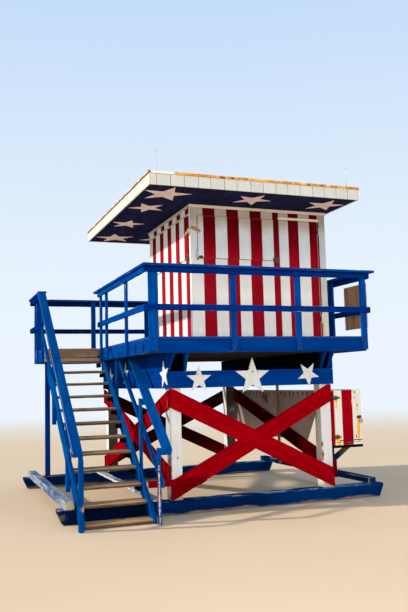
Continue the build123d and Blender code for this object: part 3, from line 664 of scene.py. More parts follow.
def rim_rust_and_painted_light(m, col):
    """Rust has run in upright streaks from the fixings inside the left rim; the left rim's face is painted lighter as
    painted sunlight, and a dark seam runs under the near rim's top.
    """
    x, y, z = m.sep(m.obj())
    n = m.noise(m.obj(), (40, 40, 14), 3, 0.6)
    left = m.ramp(x, 0.006 - OX, 0.002 - OX)
    for yy, w, z0, z1, k in ((0.712, 0.060, 2.315, 2.440, 1.0), (0.282, 0.060, 2.310, 2.415, 1.0), (0.02, 0.022, 2.40, 2.47, 0.8), (2.23, 0.050, 2.43, 2.51, 0.9),
                             (1.75, 0.05, 2.32, 2.40, 0.8), (3.02, 0.05, 2.35, 2.45, 0.8), (1.30, 0.04, 2.40, 2.46, 0.7)):
        q = m.math("ADD", m.math("ABSOLUTE", m.math("SUBTRACT", y, yy - OY)), m.math("MULTIPLY", m.math("SUBTRACT", n, 0.5), w * 1.6))
        f = m.mul(m.ramp(q, w, w * 0.45), m.ramp(z, z0 - 0.012, z0 + 0.012), m.ramp(z, z1 + 0.012, z1 - 0.012), left, k)
        col = m.mix(f, col, C(28, 16, 16))
    # Painted sunlight: the left rim's face is painted lighter.
    col = m.mix(left, col, m.vec("MULTIPLY", col, (1.2, 1.35, 1.16)))
    seam = m.mul(m.ramp(z, 2.4655, 2.4705), m.ramp(y, 0.010 - OY, 0.006 - OY), 0.8)
    return m.mix(seam, col, C(0, 20, 54))


RIMBLUE = paint("rim_blue", C(1, 60, 136), C(3, 72, 148), C(1, 52, 122), WOODU, CREAM, wear=0.2, chips=0.765, edge=0.004, cal=K["RIM"], extra=rim_rust_and_painted_light)


def skid_wear_and_painted_shade(m, col):
    """Paint rubbed pale along the upper edges, sand on the lower ones; lighter towards the right end, and painted shade
    darkens the skids under the stair.
    """
    x, y, z = m.sep(m.obj())
    n = m.noise(m.obj(), (3.2, 9, 14), 4, 0.65)
    top = m.ramp(z, 0.222, 0.214)
    f = m.mul(m.ramp(z, 0.178, 0.205), m.ramp(n, 0.46, 0.60), top, 0.75)
    col = m.mix(f, col, C(120, 140, 170))
    f = m.mul(m.ramp(z, 0.190, 0.206), m.ramp(n, 0.60, 0.70), top, 0.8)
    col = m.mix(f, col, C(178, 140, 100))
    col = m.mix(m.ramp(x, 1.6 - OX, 2.6 - OX), col, m.vec("MULTIPLY", col, (1.0, 1.5, 1.5)))
    n2 = m.noise(m.obj(), (2.0, 7, 5), 4, 0.6)
    f = m.mul(m.ramp(m.math("ADD", z, m.math("MULTIPLY", m.math("SUBTRACT", n2, 0.5), 0.16)), 0.035, 0.0), 0.6)
    col = m.mix(f, col, C(150, 128, 100))
    # Painted shade: the skids under the stair are painted near black.
    return m.mix(m.mul(in_box(m, x=(-1.10, 0.10), y=(None, 0.9)), m.ramp(x, -1.10 - OX, -0.80 - OX), 0.72), col, C(2, 8, 24))


SKIDBLUE = paint("skid_blue", C(2, 36, 84), C(2, 46, 104), C(2, 26, 66), C(120, 110, 96), C(150, 146, 136), wear=0.4, chips=0.75,
                 edge=0.008, cal=K["SKID"], extra=skid_wear_and_painted_shade, spots=[
                     ((-1.16, 0.44, 0.10), (0.09, 0.20, 0.06), C(96, 84, 50), 1.0, 30.0, 0.8)])
TIEBLUE = paint("tie_blue", C(30, 66, 124), C(110, 128, 160), C(12, 44, 96), C(140, 140, 146), C(190, 190, 190), fade=(0.34, 0.60), wear=0.9,
                chips=0.64, edge=0.014, sand=0.12, cal=K["TIE"], spots=[
                    ((-1.05, 0.36, 0.26), (0.16, 0.05, 0.16), C(206, 180, 140), 0.6, 24.0, 0.85)])
CROSSB = paint("cross_blue", C(4, 42, 90), C(8, 54, 108), C(2, 28, 68), C(150, 112, 70), C(176, 170, 150), wear=0.9, chips=0.73, edge=0.016,
               cal=(0.4, 0.80, 0.78), spots=[
                   ((3.69, 0.36, 0.27), (0.012, 0.03, 0.04), C(190, 130, 60), 1.0, 40.0, 0.9),
                   ((3.78, 0.36, 0.22), (0.012, 0.03, 0.05), C(176, 120, 60), 1.0, 40.0, 0.9)])
PLANKW = paint("worn_plank", C(60, 100, 156), C(186, 190, 192), C(30, 66, 120), C(168, 160, 148), C(226, 226, 220), fade=(0.36, 0.52), wear=1.0,
               chips=0.58, edge=0.02, sand=0.25)


def red_painted_shade(m, col):
    """Painted shade: the stair tie darkens towards the right with a painted shadow line along its foot, the tie's
    painted shadow lies on the near brace below, and the side brace's near end, the right brace's inner face and the far
    brace's near faces are painted nearly black.
    """
    x, y, z = m.sep(m.obj())
    # Painted shade: the tie is painted darker towards the right, with a painted shadow line along its foot.
    tie = m.mul(m.ramp(y, 0.378 - OY, 0.370 - OY), m.ramp(z, 0.54, 0.53))
    col = m.mix(m.mul(tie, m.ramp(x, 0.10 - OX, 0.80 - OX, 0.35, 0.75)), col, C(86, 1, 6))
    edge = m.mul(tie, m.ramp(z, 0.424, 0.414), m.ramp(x, 0.36 - OX, 0.44 - OX))
    col = m.mix(m.mul(edge, 0.8), col, C(40, 1, 4))
    # Painted shadow of the tie on the near brace below it, and painted shade on the side brace's near end.
    nearf = m.mul(m.ramp(y, 0.379 - OY, 0.3815 - OY), m.ramp(y, 0.390 - OY, 0.386 - OY))
    col = m.mix(m.mul(nearf, m.ramp(z, 0.425, 0.405), m.ramp(x, 0.95 - OX, 0.75 - OX), 0.7), col, C(88, 2, 10))
    col = m.mix(m.mul(nearf, m.ramp(x, 0.4065 - OX, 0.4045 - OX), 0.7), col, C(84, 2, 16))
    # Painted shade on the right side brace's inner face.
    inner = m.mul(m.ramp(x, 3.068 - OX, 3.061 - OX), m.ramp(x, 3.045 - OX, 3.052 - OX), m.ramp(y, 1.30 - OY, 1.62 - OY, 0.30, 0.92))
    col = m.mix(inner, col, C(30, 1, 3))
    # Painted shade: the far brace's near faces are painted nearly black.
    f = m.mul(m.ramp(y, 4.30 - OY, 4.34 - OY), m.ramp(y, 4.470 - OY, 4.462 - OY), m.ramp(z, 0.42, 0.78, 0.55, 0.93))
    return m.mix(f, col, C(24, 1, 3))


RED = paint("red_gloss", C(150, 1, 16), C(162, 3, 20), C(126, 1, 12), C(96, 40, 30), C(160, 120, 100), wear=0.25, chips=0.76, edge=0.004, streak=0.5,
            cal=K["RED"], extra=red_painted_shade,
            spots=[((3.10, 0.36, 0.62), (0.16, 0.1, 0.26), C(110, 4, 12), 0.9, 12.0, 0.7),
                   ((0.366, 0.385, 1.57), (0.010, 0.014, 0.075), C(170, 110, 44), 0.8, 40.0, 0.9)])


def leg_painted_shade(m, col):
    """Painted shade: the far legs' near faces are painted a mottled dark brown, the near right leg's left face a shaded
    tan, and a strip at the near left leg's left edge darker; the scars on the near right leg are among the material's
    spots.
    """
    x, y, z = m.sep(m.obj())
    # Painted shade on the far legs' near faces.
    f = m.mul(in_box(m, y=(4.20, 4.2465)), 0.94)
    col = m.mix(f, col, m.mix(m.ramp(m.noise(m.obj(), (9, 9, 2), 3, 0.6), 0.4, 0.6), C(30, 23, 19), C(50, 41, 33)))
    # Painted shade: the near right leg's left face in a shaded tan.
    f = m.mul(in_box(m, x=(2.86, 2.8795), y=(0.40, 0.62)), 0.6)
    col = m.mix(f, col, C(214, 202, 174))
    # Painted shade on a strip at the near left leg's left edge.
    strip = m.mul(m.ramp(x, 0.436 - OX, 0.430 - OX), m.ramp(y, 0.9 - OY, 0.7 - OY), m.ramp(z, 0.42, 0.46))
    return m.mix(strip, col, m.vec("MULTIPLY", col, (0.70, 0.73, 0.70)))


LEGW = paint("leg_white", C(222, 221, 218), C(228, 224, 218), C(200, 200, 198), C(128, 110, 84), C(178, 160, 128), wear=0.35, chips=0.735,
             edge=0.007, streak=0.4, sand=0.15, tone=0.05, cal=K["LEG"], extra=leg_painted_shade, spots=[
                 ((0.412, 0.43, 0.72), (0.020, 0.06, 0.24), C(96, 74, 48), 0.9, 14.0, 0.9),
                 ((0.50, 0.42, 0.21), (0.16, 0.24, 0.11), C(150, 136, 112), 0.6, 12.0, 0.92),
                 ((2.97, 0.42, 0.20), (0.18, 0.24, 0.10), C(176, 160, 134), 0.6, 12.0, 0.92),
                 ((0.52, 0.42, 0.80), (0.012, 0.02, 0.02), C(60, 60, 56), 0.4, 60.0),
                 ((0.60, 0.42, 0.90), (0.012, 0.02, 0.02), C(50, 50, 46), 0.4, 60.0),
                 ((2.884, 0.424, 0.868), (0.020, 0.030, 0.052), C(150, 104, 60), 0.5, 30.0),
                 ((2.884, 0.424, 0.868), (0.012, 0.026, 0.040), C(62, 36, 20), 0.4, 30.0),
                 ((2.890, 0.430, 0.70), (0.018, 0.050, 0.100), C(160, 112, 62), 0.6, 22.0),
                 ((2.890, 0.426, 0.71), (0.011, 0.030, 0.075), C(74, 44, 22), 0.6, 26.0),
                 ((2.875, 0.585, 1.28), (0.014, 0.036, 0.20), C(78, 60, 38), 0.8, 14.0),
                 ((2.875, 0.570, 0.98), (0.014, 0.030, 0.12), C(96, 76, 46), 0.9, 14.0, 0.9)])
STARW = paint("star_white", C(224, 222, 218), C(230, 224, 214), C(200, 196, 188), C(132, 112, 84), C(176, 150, 110), wear=0.5, chips=0.72, edge=0.003,
              tone=0.05, cal=K["STAR"], spots=[
                  ((0.835, 0.363, 1.985), (0.018, 0.02, 0.020), C(190, 150, 84), 0.7, 60.0, 0.9),
                  ((1.715, 0.363, 2.005), (0.016, 0.02, 0.018), C(104, 74, 44), 0.7, 60.0, 0.9),
                  ((0.305, 0.363, 2.03), (0.012, 0.03, 0.014), C(180, 130, 70), 0.7, 60.0, 0.8),
                  ((1.90, 0.363, 1.87), (0.02, 0.02, 0.014), C(150, 104, 54), 0.5, 60.0),
                  ((1.80, 0.363, 2.00), (0.02, 0.02, 0.014), C(176, 150, 110), 0.5, 60.0),
                  ((1.66, 0.363, 2.05), (0.014, 0.02, 0.014), C(166, 122, 66), 0.5, 60.0)])


def wall_painted_light_shade_and_lines(m, col):
    """Painted shade: under the roof the near wall's whites and reds darken upwards, and the left wall's red darkens
    too; painted light: the sunlit left wall's whites are painted darker and its reds lighter in green and blue. The
    near wall right of the door is darker above 3 m, and a brown line follows the hatch's edge.
    """
    x, y, z = m.sep(m.obj())
    n = m.noise(m.obj(), (5, 5, 2.0), 4, 0.6)
    n3 = m.noise(m.obj(), (24, 24, 24), 3, 0.6)
    near = m.ramp(y, 0.8905 - OY, 0.8865 - OY)
    zz = m.math("ADD", z, m.math("MULTIPLY", m.math("SUBTRACT", n, 0.5), 0.16))
    t = m.attr("tint", "Fac")
    # Painted shade: the near wall darkens upwards under the roof, whites and reds each by their own steps.
    fa = m.ramp(zz, 3.34, 4.10)
    fw = m.ramp(zz, 4.20, 4.45)
    fr = m.ramp(zz, 3.80, 4.44)
    grey = m.mix(fa, col, m.vec("MULTIPLY", col, (0.58, 0.63, 0.71)))
    white = m.vec("MULTIPLY", grey, (0.69, 0.555, 0.455))
    dusk = m.mix(m.ramp(zz, 3.60, 4.06), col, m.vec("MULTIPLY", col, (0.66, 0.5, 0.66)))
    red = m.vec("MULTIPLY", dusk, (0.36, 0.34, 0.34))
    both = m.mix(t, m.mix(fw, grey, white), m.mix(fr, dusk, red))
    col = m.mix(near, col, both)
    # Darker right of the door above 3 m.
    col = m.mix(m.mul(near, in_box(m, x=(3.2225, None), z=(3.0, None))), col, m.vec("MULTIPLY", col, (0.80, 0.80, 0.81)))
    # Painted light: the sunlit left wall's whites are painted darker and its reds lighter in green and blue.
    left = m.ramp(x, 0.9705 - OX, 0.9655 - OX)
    col = m.mix(left, col, m.mix(t, m.vec("MULTIPLY", col, (0.88, 0.88, 0.88)), m.vec("MULTIPLY", col, (1.0, 1.9, 1.4))))
    # Painted shade: the left wall's red darkens under the roof.
    lf = m.mul(left, t, m.ramp(zz, 4.12, 4.36))
    col = m.mix(lf, col, m.vec("MULTIPLY", col, (0.45, 0.5, 0.5)))
    # the line round the near hatch
    line = m.mul(m.ramp(m.math("ABSOLUTE", m.math("SUBTRACT", z, 4.4755)), 0.0085, 0.004), in_box(m, x=(1.07, 2.445)), near,
                 m.ramp(n3, 0.36, 0.50), 0.8)
    side = m.mul(m.ramp(m.math("ABSOLUTE", m.math("SUBTRACT", x, 1.0725 - OX)), 0.0075, 0.003), in_box(m, z=(3.80, 4.48)), near,
                 m.ramp(n3, 0.34, 0.50), 0.55)
    low = m.mul(m.ramp(m.math("ABSOLUTE", m.math("SUBTRACT", z, 3.7985)), 0.0065, 0.003), in_box(m, x=(1.07, 2.445)), near,
                m.ramp(n3, 0.36, 0.50), 0.8)
    col = m.mix(m.math("MAXIMUM", m.math("MAXIMUM", line, side), low), col, C(92, 74, 56))
    return col


STRIPED = paint("striped", C(230, 230, 228), C(234, 232, 228), C(216, 215, 212), C(150, 130, 104), C(190, 170, 140), wear=0.2, chips=0.755, edge=0.003,
                streak=0.30, tone=0.04, rough=(0.5, 0.65), cal=K["WALLW"], cal2=K["WALLR"],
                stripe=dict(base=C(150, 13, 29), faded=C(160, 16, 34), deep=C(124, 9, 22)), extra=wall_painted_light_shade_and_lines,
                spots=[
                    ((3.270, 0.878, 2.66), (0.018, 0.03, 0.12), C(240, 206, 110), 0.5, 26.0, 0.95),
                    ((3.262, 0.878, 2.745), (0.013, 0.03, 0.05), C(232, 176, 50), 0.5, 26.0, 0.95),
                    ((3.250, 0.878, 3.18), (0.012, 0.03, 0.02), C(170, 150, 110), 0.5, 40.0, 0.8),
                    ((1.05, 0.878, 3.86), (0.02, 0.03, 0.10), C(150, 176, 172), 0.7, 26.0, 0.6),
                    ((2.41, 0.85, 3.90), (0.022, 0.04, 0.11), C(62, 54, 44), 0.8, 30.0, 0.8),
                    ((0.935, 0.99, 3.80), (0.05, 0.03, 0.09), C(96, 84, 64), 0.8, 30.0, 0.6),
                ])
def locker_painted_light_and_gap(m, col):
    """The left side is painted lighter as painted sunlight; a dark gap runs along the door's foot."""
    x, y, z = m.sep(m.obj())
    # Painted sunlight on the locker's left side.
    side = m.mul(m.ramp(x, 3.1175 - OX, 3.1145 - OX), m.attr("tint", "Fac"))
    col = m.mix(side, col, m.vec("MULTIPLY", col, (2.4, 1.6, 1.4)))
    n = m.noise(m.obj(), (20, 20, 20), 3, 0.6)
    gap = m.mul(m.ramp(m.math("ABSOLUTE", m.math("SUBTRACT", z, 0.906)), 0.0085, 0.005), in_box(m, x=(3.175, None), y=(None, 0.386)), m.ramp(n, 0.26, 0.42))
    return m.mix(gap, col, C(26, 22, 22))


LOCKER = paint("locker_paint", C(230, 232, 228), C(236, 234, 226), C(214, 214, 208), C(150, 120, 80), C(190, 160, 110), wear=0.4, chips=0.74, edge=0.004,
               streak=0.2, tone=0.03, cal=K["LOCKW"], cal2=K["LOCKR"],
               stripe=dict(base=C(154, 2, 20), faded=C(164, 4, 24), deep=C(136, 2, 14)), extra=locker_painted_light_and_gap,
               spots=[
                   ((3.142, 0.38, 1.49), (0.026, 0.04, 0.12), C(246, 184, 60), 0.6, 30.0, 0.95),
                   ((3.146, 0.38, 1.565), (0.044, 0.04, 0.042), C(96, 50, 18), 1.2, 44.0, 0.9),
                   ((3.160, 0.38, 0.89), (0.044, 0.04, 0.13), C(250, 182, 20), 0.6, 26.0),
                   ((3.146, 0.38, 0.965), (0.046, 0.04, 0.044), C(104, 52, 14), 1.2, 44.0, 0.9),
                   ((3.530, 0.38, 1.09), (0.033, 0.04, 0.23), C(248, 170, 16), 0.7, 18.0),
                   ((3.594, 0.38, 1.08), (0.013, 0.04, 0.17), C(248, 204, 90), 0.6, 18.0, 0.9),
                   ((3.512, 0.38, 1.43), (0.014, 0.04, 0.17), C(244, 184, 74), 0.8, 22.0, 0.9),
                   ((3.420, 0.38, 1.50), (0.010, 0.04, 0.05), C(232, 160, 70), 0.8, 40.0, 0.8),
                   ((3.520, 0.38, 1.44), (0.010, 0.03, 0.03), C(120, 64, 20), 0.4, 60.0),
                   ((3.470, 0.38, 1.56), (0.010, 0.03, 0.018), C(150, 84, 30), 0.4, 60.0),
                   ((3.480, 0.38, 1.645), (0.026, 0.03, 0.022), C(214, 140, 40), 1.2, 60.0),
                   ((3.466, 0.38, 1.652), (0.013, 0.03, 0.014), C(60, 40, 24), 0.8, 60.0),
                   ((3.480, 0.38, 0.96), (0.016, 0.03, 0.028), C(150, 84, 30), 0.5, 60.0),
               ])


def fascia_extra(m, col):
    """Drips from the rusty edge over the boards."""
    n = m.noise(m.obj(), (16, 16, 0.6), 4, 0.65)
    x, y, z = m.sep(m.obj())
    f = m.mul(m.ramp(n, 0.58, 0.74), m.ramp(z, 4.68, 4.84), 0.4)
    col = m.mix(f, col, C(196, 152, 84))
    n2 = m.noise(m.obj(), (3, 3, 9), 4, 0.6)
    return m.mix(m.mul(m.ramp(n2, 0.52, 0.72), 0.2), col, C(176, 172, 160))


FASCIA = paint("fascia_white", C(220, 219, 212), C(226, 223, 214), C(204, 202, 194), C(160, 140, 108), C(196, 178, 146), wear=0.3, chips=0.75, edge=0.003,
               streak=0.35, tone=0.07, cal=K["FASC"], extra=fascia_extra, spots=[
                   ((0.034, -0.067, 4.745), (0.016, 0.03, 0.12), C(238, 200, 130), 0.4, 30.0, 0.9)])
# Painted shade: the white trim under the roof is painted tan.
TRIM_SHADE_TAN = paint("trim_tan_painted_shade", C(206, 190, 168), C(214, 200, 180), C(178, 160, 136), C(140, 112, 80), C(170, 140, 104), wear=0.5, chips=0.72, edge=0.005,
                tone=0.06, cal=K["TRIM"])
NAVY = paint("soffit_navy", C(26, 27, 50), C(32, 34, 62), C(17, 20, 42), C(60, 56, 64), C(90, 84, 84), wear=0.2, chips=0.77, edge=0.003, rough=(0.62, 0.8),
             tone=0.10, cal=K["NAVY"])
STARTAN = paint("star_tan", C(222, 196, 176), C(230, 206, 188), C(202, 176, 156), C(120, 96, 80), C(150, 120, 100), wear=0.4, chips=0.75, edge=0.003,
                rough=(0.6, 0.8), tone=0.04, cal=K["STAN"])


def tread_painted_light_shade(m, col):
    """The treads' upper faces are paler than their edges and undersides; the edges run from painted shade at their foot
    to lighter at their top, and the lowest treads' upper faces are painted lighter as painted sunlight.
    """
    g, h = m.attr("gco"), m.attr("hsz")
    up = m.t.nodes.new("ShaderNodeNewGeometry")
    nx, ny, nz = m.sep(up.outputs["True Normal"])
    top = m.ramp(nz, 0.5, 0.9)
    w = m.math("DIVIDE", m.sep(g)[2], m.sep(h)[2])
    n = m.noise(g, (2.2, 14, 30), 4, 0.6)
    k = m.math("ADD", w, m.math("MULTIPLY", m.math("SUBTRACT", n, 0.5), 1.5))
    # Painted shade: the edges darken towards their foot and lighten towards their top.
    low = m.vec("MULTIPLY", col, (0.40, 0.39, 0.40))
    high = m.vec("MULTIPLY", col, (1.30, 1.42, 1.50))
    side = m.mix(m.ramp(k, -0.15, 0.45), low, high)
    z = m.sep(m.obj())[2]
    # Painted sunlight: the lowest treads' upper faces are painted lighter.
    lit = m.vec("MULTIPLY", col, (1.75, 1.55, 1.40))
    return m.mix(top, side, m.mix(m.ramp(z, 0.62, 0.22), col, lit))


TREADW = timber("tread_wood", C(178, 156, 130), C(160, 134, 106), C(130, 104, 80), C(66, 44, 28), C(206, 182, 152), cal=K["TREAD"], extra=tread_painted_light_shade)


def deck_blue_ends_and_painted_shade(m, col):
    """Board ends on the deck's outline carry the rim's blue; undersides are painted dark as painted shade."""
    x, y, z = m.sep(m.obj())
    n = m.noise(m.obj(), (7, 7, 7), 4, 0.6)
    w = m.math("MULTIPLY_ADD", n, 0.010, 0.001)
    f = m.ramp(m.math("SUBTRACT", m.math("SUBTRACT", y, -OY), w), 0.004, 0.001)
    for v, e, s in ((y, 4.45 - OY, -1), (x, 3.494 - OX, -1)):
        d = m.math("MULTIPLY", m.math("SUBTRACT", v, e), float(s))
        f = m.math("MAXIMUM", f, m.ramp(m.math("SUBTRACT", d, w), 0.004, 0.001))
    # left edge of the deck before the landing, and the landing's own edges
    d = m.math("SUBTRACT", m.math("ABSOLUTE", m.math("SUBTRACT", x, -OX)), w)
    f = m.math("MAXIMUM", f, m.mul(m.ramp(d, 0.004, 0.001), in_box(m, y=(None, 3.09))))
    d = m.math("SUBTRACT", m.math("ABSOLUTE", m.math("SUBTRACT", x, -0.965 - OX)), w)
    f = m.math("MAXIMUM", f, m.ramp(d, 0.004, 0.001))
    # Painted shade on the boards' undersides.
    col = m.mix(m.mul(in_box(m, z=(None, 2.4785)), 0.9), col, C(24, 18, 15))
    return m.mix(f, col, C(1, 56, 130))


DECKW = timber("deck_wood", C(150, 138, 122), C(128, 112, 94), C(98, 82, 66), C(56, 42, 32), C(176, 164, 146), extra=deck_blue_ends_and_painted_shade)
def landing_extra(m, col):
    """A paler strip runs along the fascia's foot, under a dark joint."""
    z = m.sep(m.obj())[2]
    n = m.noise(m.obj(), (3, 9, 60), 4, 0.6)
    col = m.mix(m.mul(m.ramp(m.math("ABSOLUTE", m.math("SUBTRACT", z, 2.349)), 0.009, 0.004), 0.75), col, C(40, 26, 18))
    col = m.mix(m.mul(m.ramp(z, 2.346, 2.340), 0.7), col, C(176, 150, 128))
    return m.mix(m.mul(m.ramp(n, 0.58, 0.68), m.ramp(z, 2.346, 2.352), 0.6), col, C(52, 34, 24))


FASCW = timber("landing_wood", C(150, 122, 104), C(122, 96, 78), C(92, 66, 50), C(42, 26, 18), C(160, 134, 112), cal=K["LFASC"], extra=landing_extra, spots=[
    ((-0.02, 3.10, 2.36), (0.02, 0.03, 0.05), C(40, 24, 18), 0.5, 40.0)])
# Painted shade: the joists' wood is painted near black for the shade under the deck.
JOIST_SHADE_WOOD = timber("joist_wood_painted_shade", C(44, 34, 28), C(34, 26, 22), C(22, 17, 14), C(14, 10, 8), C(56, 46, 38))
POSTW = timber("post_wood", C(120, 106, 92), C(98, 86, 74), C(74, 62, 52), C(40, 32, 26), C(140, 126, 110), cal=K["POST"], ring=12.0)
PINEW = timber("pine", C(196, 164, 122), C(180, 146, 102), C(150, 112, 72), C(96, 60, 34), C(206, 178, 136), tone=0.16)
BROWNW = timber("cleat_wood", C(172, 128, 64), C(150, 106, 48), C(112, 74, 30), C(70, 44, 20), C(196, 156, 92))
PALEW = timber("pale_button", C(236, 206, 140), C(226, 176, 92), C(176, 120, 60), C(110, 70, 30), C(244, 224, 176))
DARKWOOD = paint("dark_paint", C(8, 12, 24), C(13, 18, 32), C(4, 7, 14), C(46, 38, 32), C(70, 60, 50), wear=0.2, chips=0.77, edge=0.004, tone=0.2)


def knee_extra(m, col):
    n = m.noise(m.obj(), (8, 8, 8), 4, 0.6)
    f = m.mul(in_box(m, x=(3.22, None), soft=0.02), m.ramp(n, 0.36, 0.50))
    return m.mix(f, col, m.mix(m.ramp(n, 0.45, 0.6), C(96, 74, 56), C(60, 44, 32)))


KNEEW = paint("knee_paint", C(14, 24, 52), C(26, 34, 60), C(8, 12, 28), C(74, 56, 40), C(96, 76, 56), wear=0.6, chips=0.70, edge=0.008, tone=0.2,
              extra=knee_extra)


def panel_mat():
    """Plain weathered ply, with a row of rusty nails and their short runs under the top edge."""
    m = Mat("panel_ply")
    p, e, endd = m.plank()
    o = m.obj()
    x, y, z = m.sep(o)
    a = m.noise(o, (1.2, 1.2, 1.6), 3, 0.5)
    g = m.noise(o, (3, 60, 3.5), 4, 0.6)
    b = m.noise(o, (22, 22, 22), 4, 0.6)
    col = m.mix(m.ramp(y, 1.2 - OY, 4.3 - OY), C(112, 101, 96), C(78, 71, 65))
    col = m.mix(m.mul(m.ramp(z, 1.5, 1.0), 0.5), col, C(126, 114, 108))
    col = m.mix(m.mul(m.ramp(a, 0.42, 0.66), 0.35), col, C(92, 84, 76))
    col = m.gain(col, m.math("MULTIPLY_ADD", g, 0.16, 0.92))
    col = m.gain(col, m.math("MULTIPLY_ADD", b, 0.12, 0.94))
    rng = random.Random(12)
    yy = 1.05
    while yy < 4.2:
        zz = 1.640 + rng.uniform(-0.008, 0.008)
        col = m.spot(col, (3.098, yy, zz), (0.05, 0.034, 0.022), C(14, 6, 2), 0.5, 60.0, 0.95)
        if rng.random() < 0.7:
            col = m.spot(col, (3.098, yy + 0.01, zz - 0.045), (0.05, 0.024, 0.055), C(52, 24, 8), 0.7, 30.0, 0.7)
        yy += rng.uniform(0.12, 0.20)
    col = m.spot(col, (3.098, 2.88, 1.57), (0.05, 0.15, 0.11), C(66, 34, 8), 1.2, 16.0, 0.85)
    col = m.spot(col, (3.098, 2.80, 1.50), (0.05, 0.06, 0.09), C(30, 14, 4), 1.2, 20.0, 0.8)
    col = m.vec("MULTIPLY", col, K["PANEL"])
    return m.done(col, m.math("MULTIPLY_ADD", g, 0.15, 0.75), g, 0.0015, 0.4, spec=0.1)


PANELW = panel_mat()
BOARDW = timber("board_ply", C(150, 126, 104), C(128, 104, 86), C(98, 76, 60), C(58, 42, 34), C(170, 148, 126), tone=0.14, ring=11.0, cal=K["BOARD"])
STEEL = rusty("rusty_steel", C(96, 98, 94), C(136, 72, 26), C(70, 36, 16), 0.62, 34)
LATCH = rusty("latch_steel", C(74, 84, 76), C(84, 62, 36), C(34, 34, 28), 0.5, 40)
DARKST = rusty("dark_steel", C(26, 24, 20), C(62, 44, 22), C(18, 16, 14), 0.4, 40)
HINGE = rusty("hinge_rust", C(56, 36, 26), C(84, 42, 18), C(34, 22, 16), 0.6, 60, metal=0.0)
BOLT = rusty("bolt_steel", C(26, 32, 44), C(44, 36, 30), C(22, 20, 22), 0.6, 60, metal=0.0)
BRASS = rusty("padlock_metal", C(176, 190, 206), C(150, 120, 60), C(110, 84, 40), 0.2, 50, metal=0.8, rough=(0.3, 0.5))


def drip_extra(m, col):
    """The edge is cream by the near left corner, whose tip is brown, then orange rust with brown patches; a dark line runs along its foot."""
    x, y, z = m.sep(m.obj())
    n = m.noise(m.obj(), (7, 7, 7), 5, 0.6)
    n2 = m.noise(m.obj(), (11, 11, 16), 4, 0.65)
    near = m.ramp(y, -0.02 - OY, -0.05 - OY)
    pale = m.mul(m.ramp(m.math("ADD", x, m.math("MULTIPLY", m.math("SUBTRACT", n, 0.5), 0.25)), 0.44 - OX, 0.34 - OX), near)
    col = m.mix(pale, col, C(232, 226, 212))
    br = m.mul(m.ramp(n2, 0.54, 0.61), near, m.ramp(x, 0.9 - OX, 1.3 - OX))
    col = m.mix(br, col, C(92, 44, 4))
    yl = m.mul(m.ramp(n, 0.46, 0.56), near, m.ramp(x, 0.34 - OX, 0.5 - OX), 0.6)
    col = m.mix(yl, col, C(246, 190, 60))
    pale2 = m.mul(m.ramp(n, 0.56, 0.64), near, m.ramp(x, 1.1 - OX, 1.4 - OX), m.ramp(z, 4.825, 4.84))
    col = m.mix(pale2, col, C(240, 214, 150))
    left = m.ramp(x, 0.030 - OX, 0.018 - OX)
    lf = m.mul(left, m.ramp(z, 4.832, 4.822))
    col = m.mix(lf, col, C(60, 34, 14))
    lp = m.mul(left, m.ramp(n, 0.46, 0.56), m.ramp(z, 4.826, 4.836))
    col = m.mix(lp, col, C(240, 226, 190))
    tip = m.mul(m.ramp(x, 0.055 - OX, 0.035 - OX), near)
    col = m.mix(tip, col, m.mix(m.ramp(n2, 0.45, 0.55), C(150, 80, 10), C(70, 34, 6)))
    foot = m.mul(m.ramp(z, 4.8115, 4.8075), near)
    return m.mix(foot, col, C(70, 50, 30))


DRIP = rusty("drip_rust", C(244, 186, 40), C(226, 142, 2), C(170, 96, 0), 0.55, 9.0, metal=0.0, rough=(0.6, 0.8), extra=drip_extra, spots=[
    ((0.985, -0.075, 4.83), (0.05, 0.05, 0.03), C(90, 46, 16), 0.7, 40.0),
    ((1.12, -0.075, 4.82), (0.07, 0.05, 0.025), C(110, 50, 10), 0.7, 40.0),
    ((1.33, -0.075, 4.82), (0.09, 0.05, 0.02), C(90, 34, 8), 0.7, 40.0)])


def roof_mat():
    m = Mat("roofing")
    o = m.obj()
    a = m.noise(o, (1.6, 1.6, 1.6), 4, 0.6)
    b = m.noise(o, (160, 160, 160), 3, 0.7)
    c = m.noise(o, (9, 2.2, 9), 4, 0.6)
    col = m.mix(m.ramp(a, 0.35, 0.7), C(196, 190, 178), C(172, 166, 154))
    col = m.mix(m.mul(m.ramp(c, 0.52, 0.75), 0.5), col, C(146, 134, 118))
    col = m.gain(col, m.math("MULTIPLY_ADD", b, 0.4, 0.8))
    return m.done(col, m.math("MULTIPLY_ADD", b, 0.15, 0.75), b, 0.0018, 0.7, spec=0.3)


ROOFING = roof_mat()


def alu():
    m = Mat("aerial_metal")
    o = m.obj()
    a = m.noise(o, (60, 60, 14), 4, 0.6)
    col = m.mix(m.ramp(a, 0.4, 0.7), C(176, 176, 174), C(128, 126, 120))
    return m.done(col, m.math("MULTIPLY_ADD", a, 0.3, 0.3), a, 0.0006, 0.4, metal=m.ramp(a, 0.75, 0.5, 0.5, 1.0))


ALU = alu()

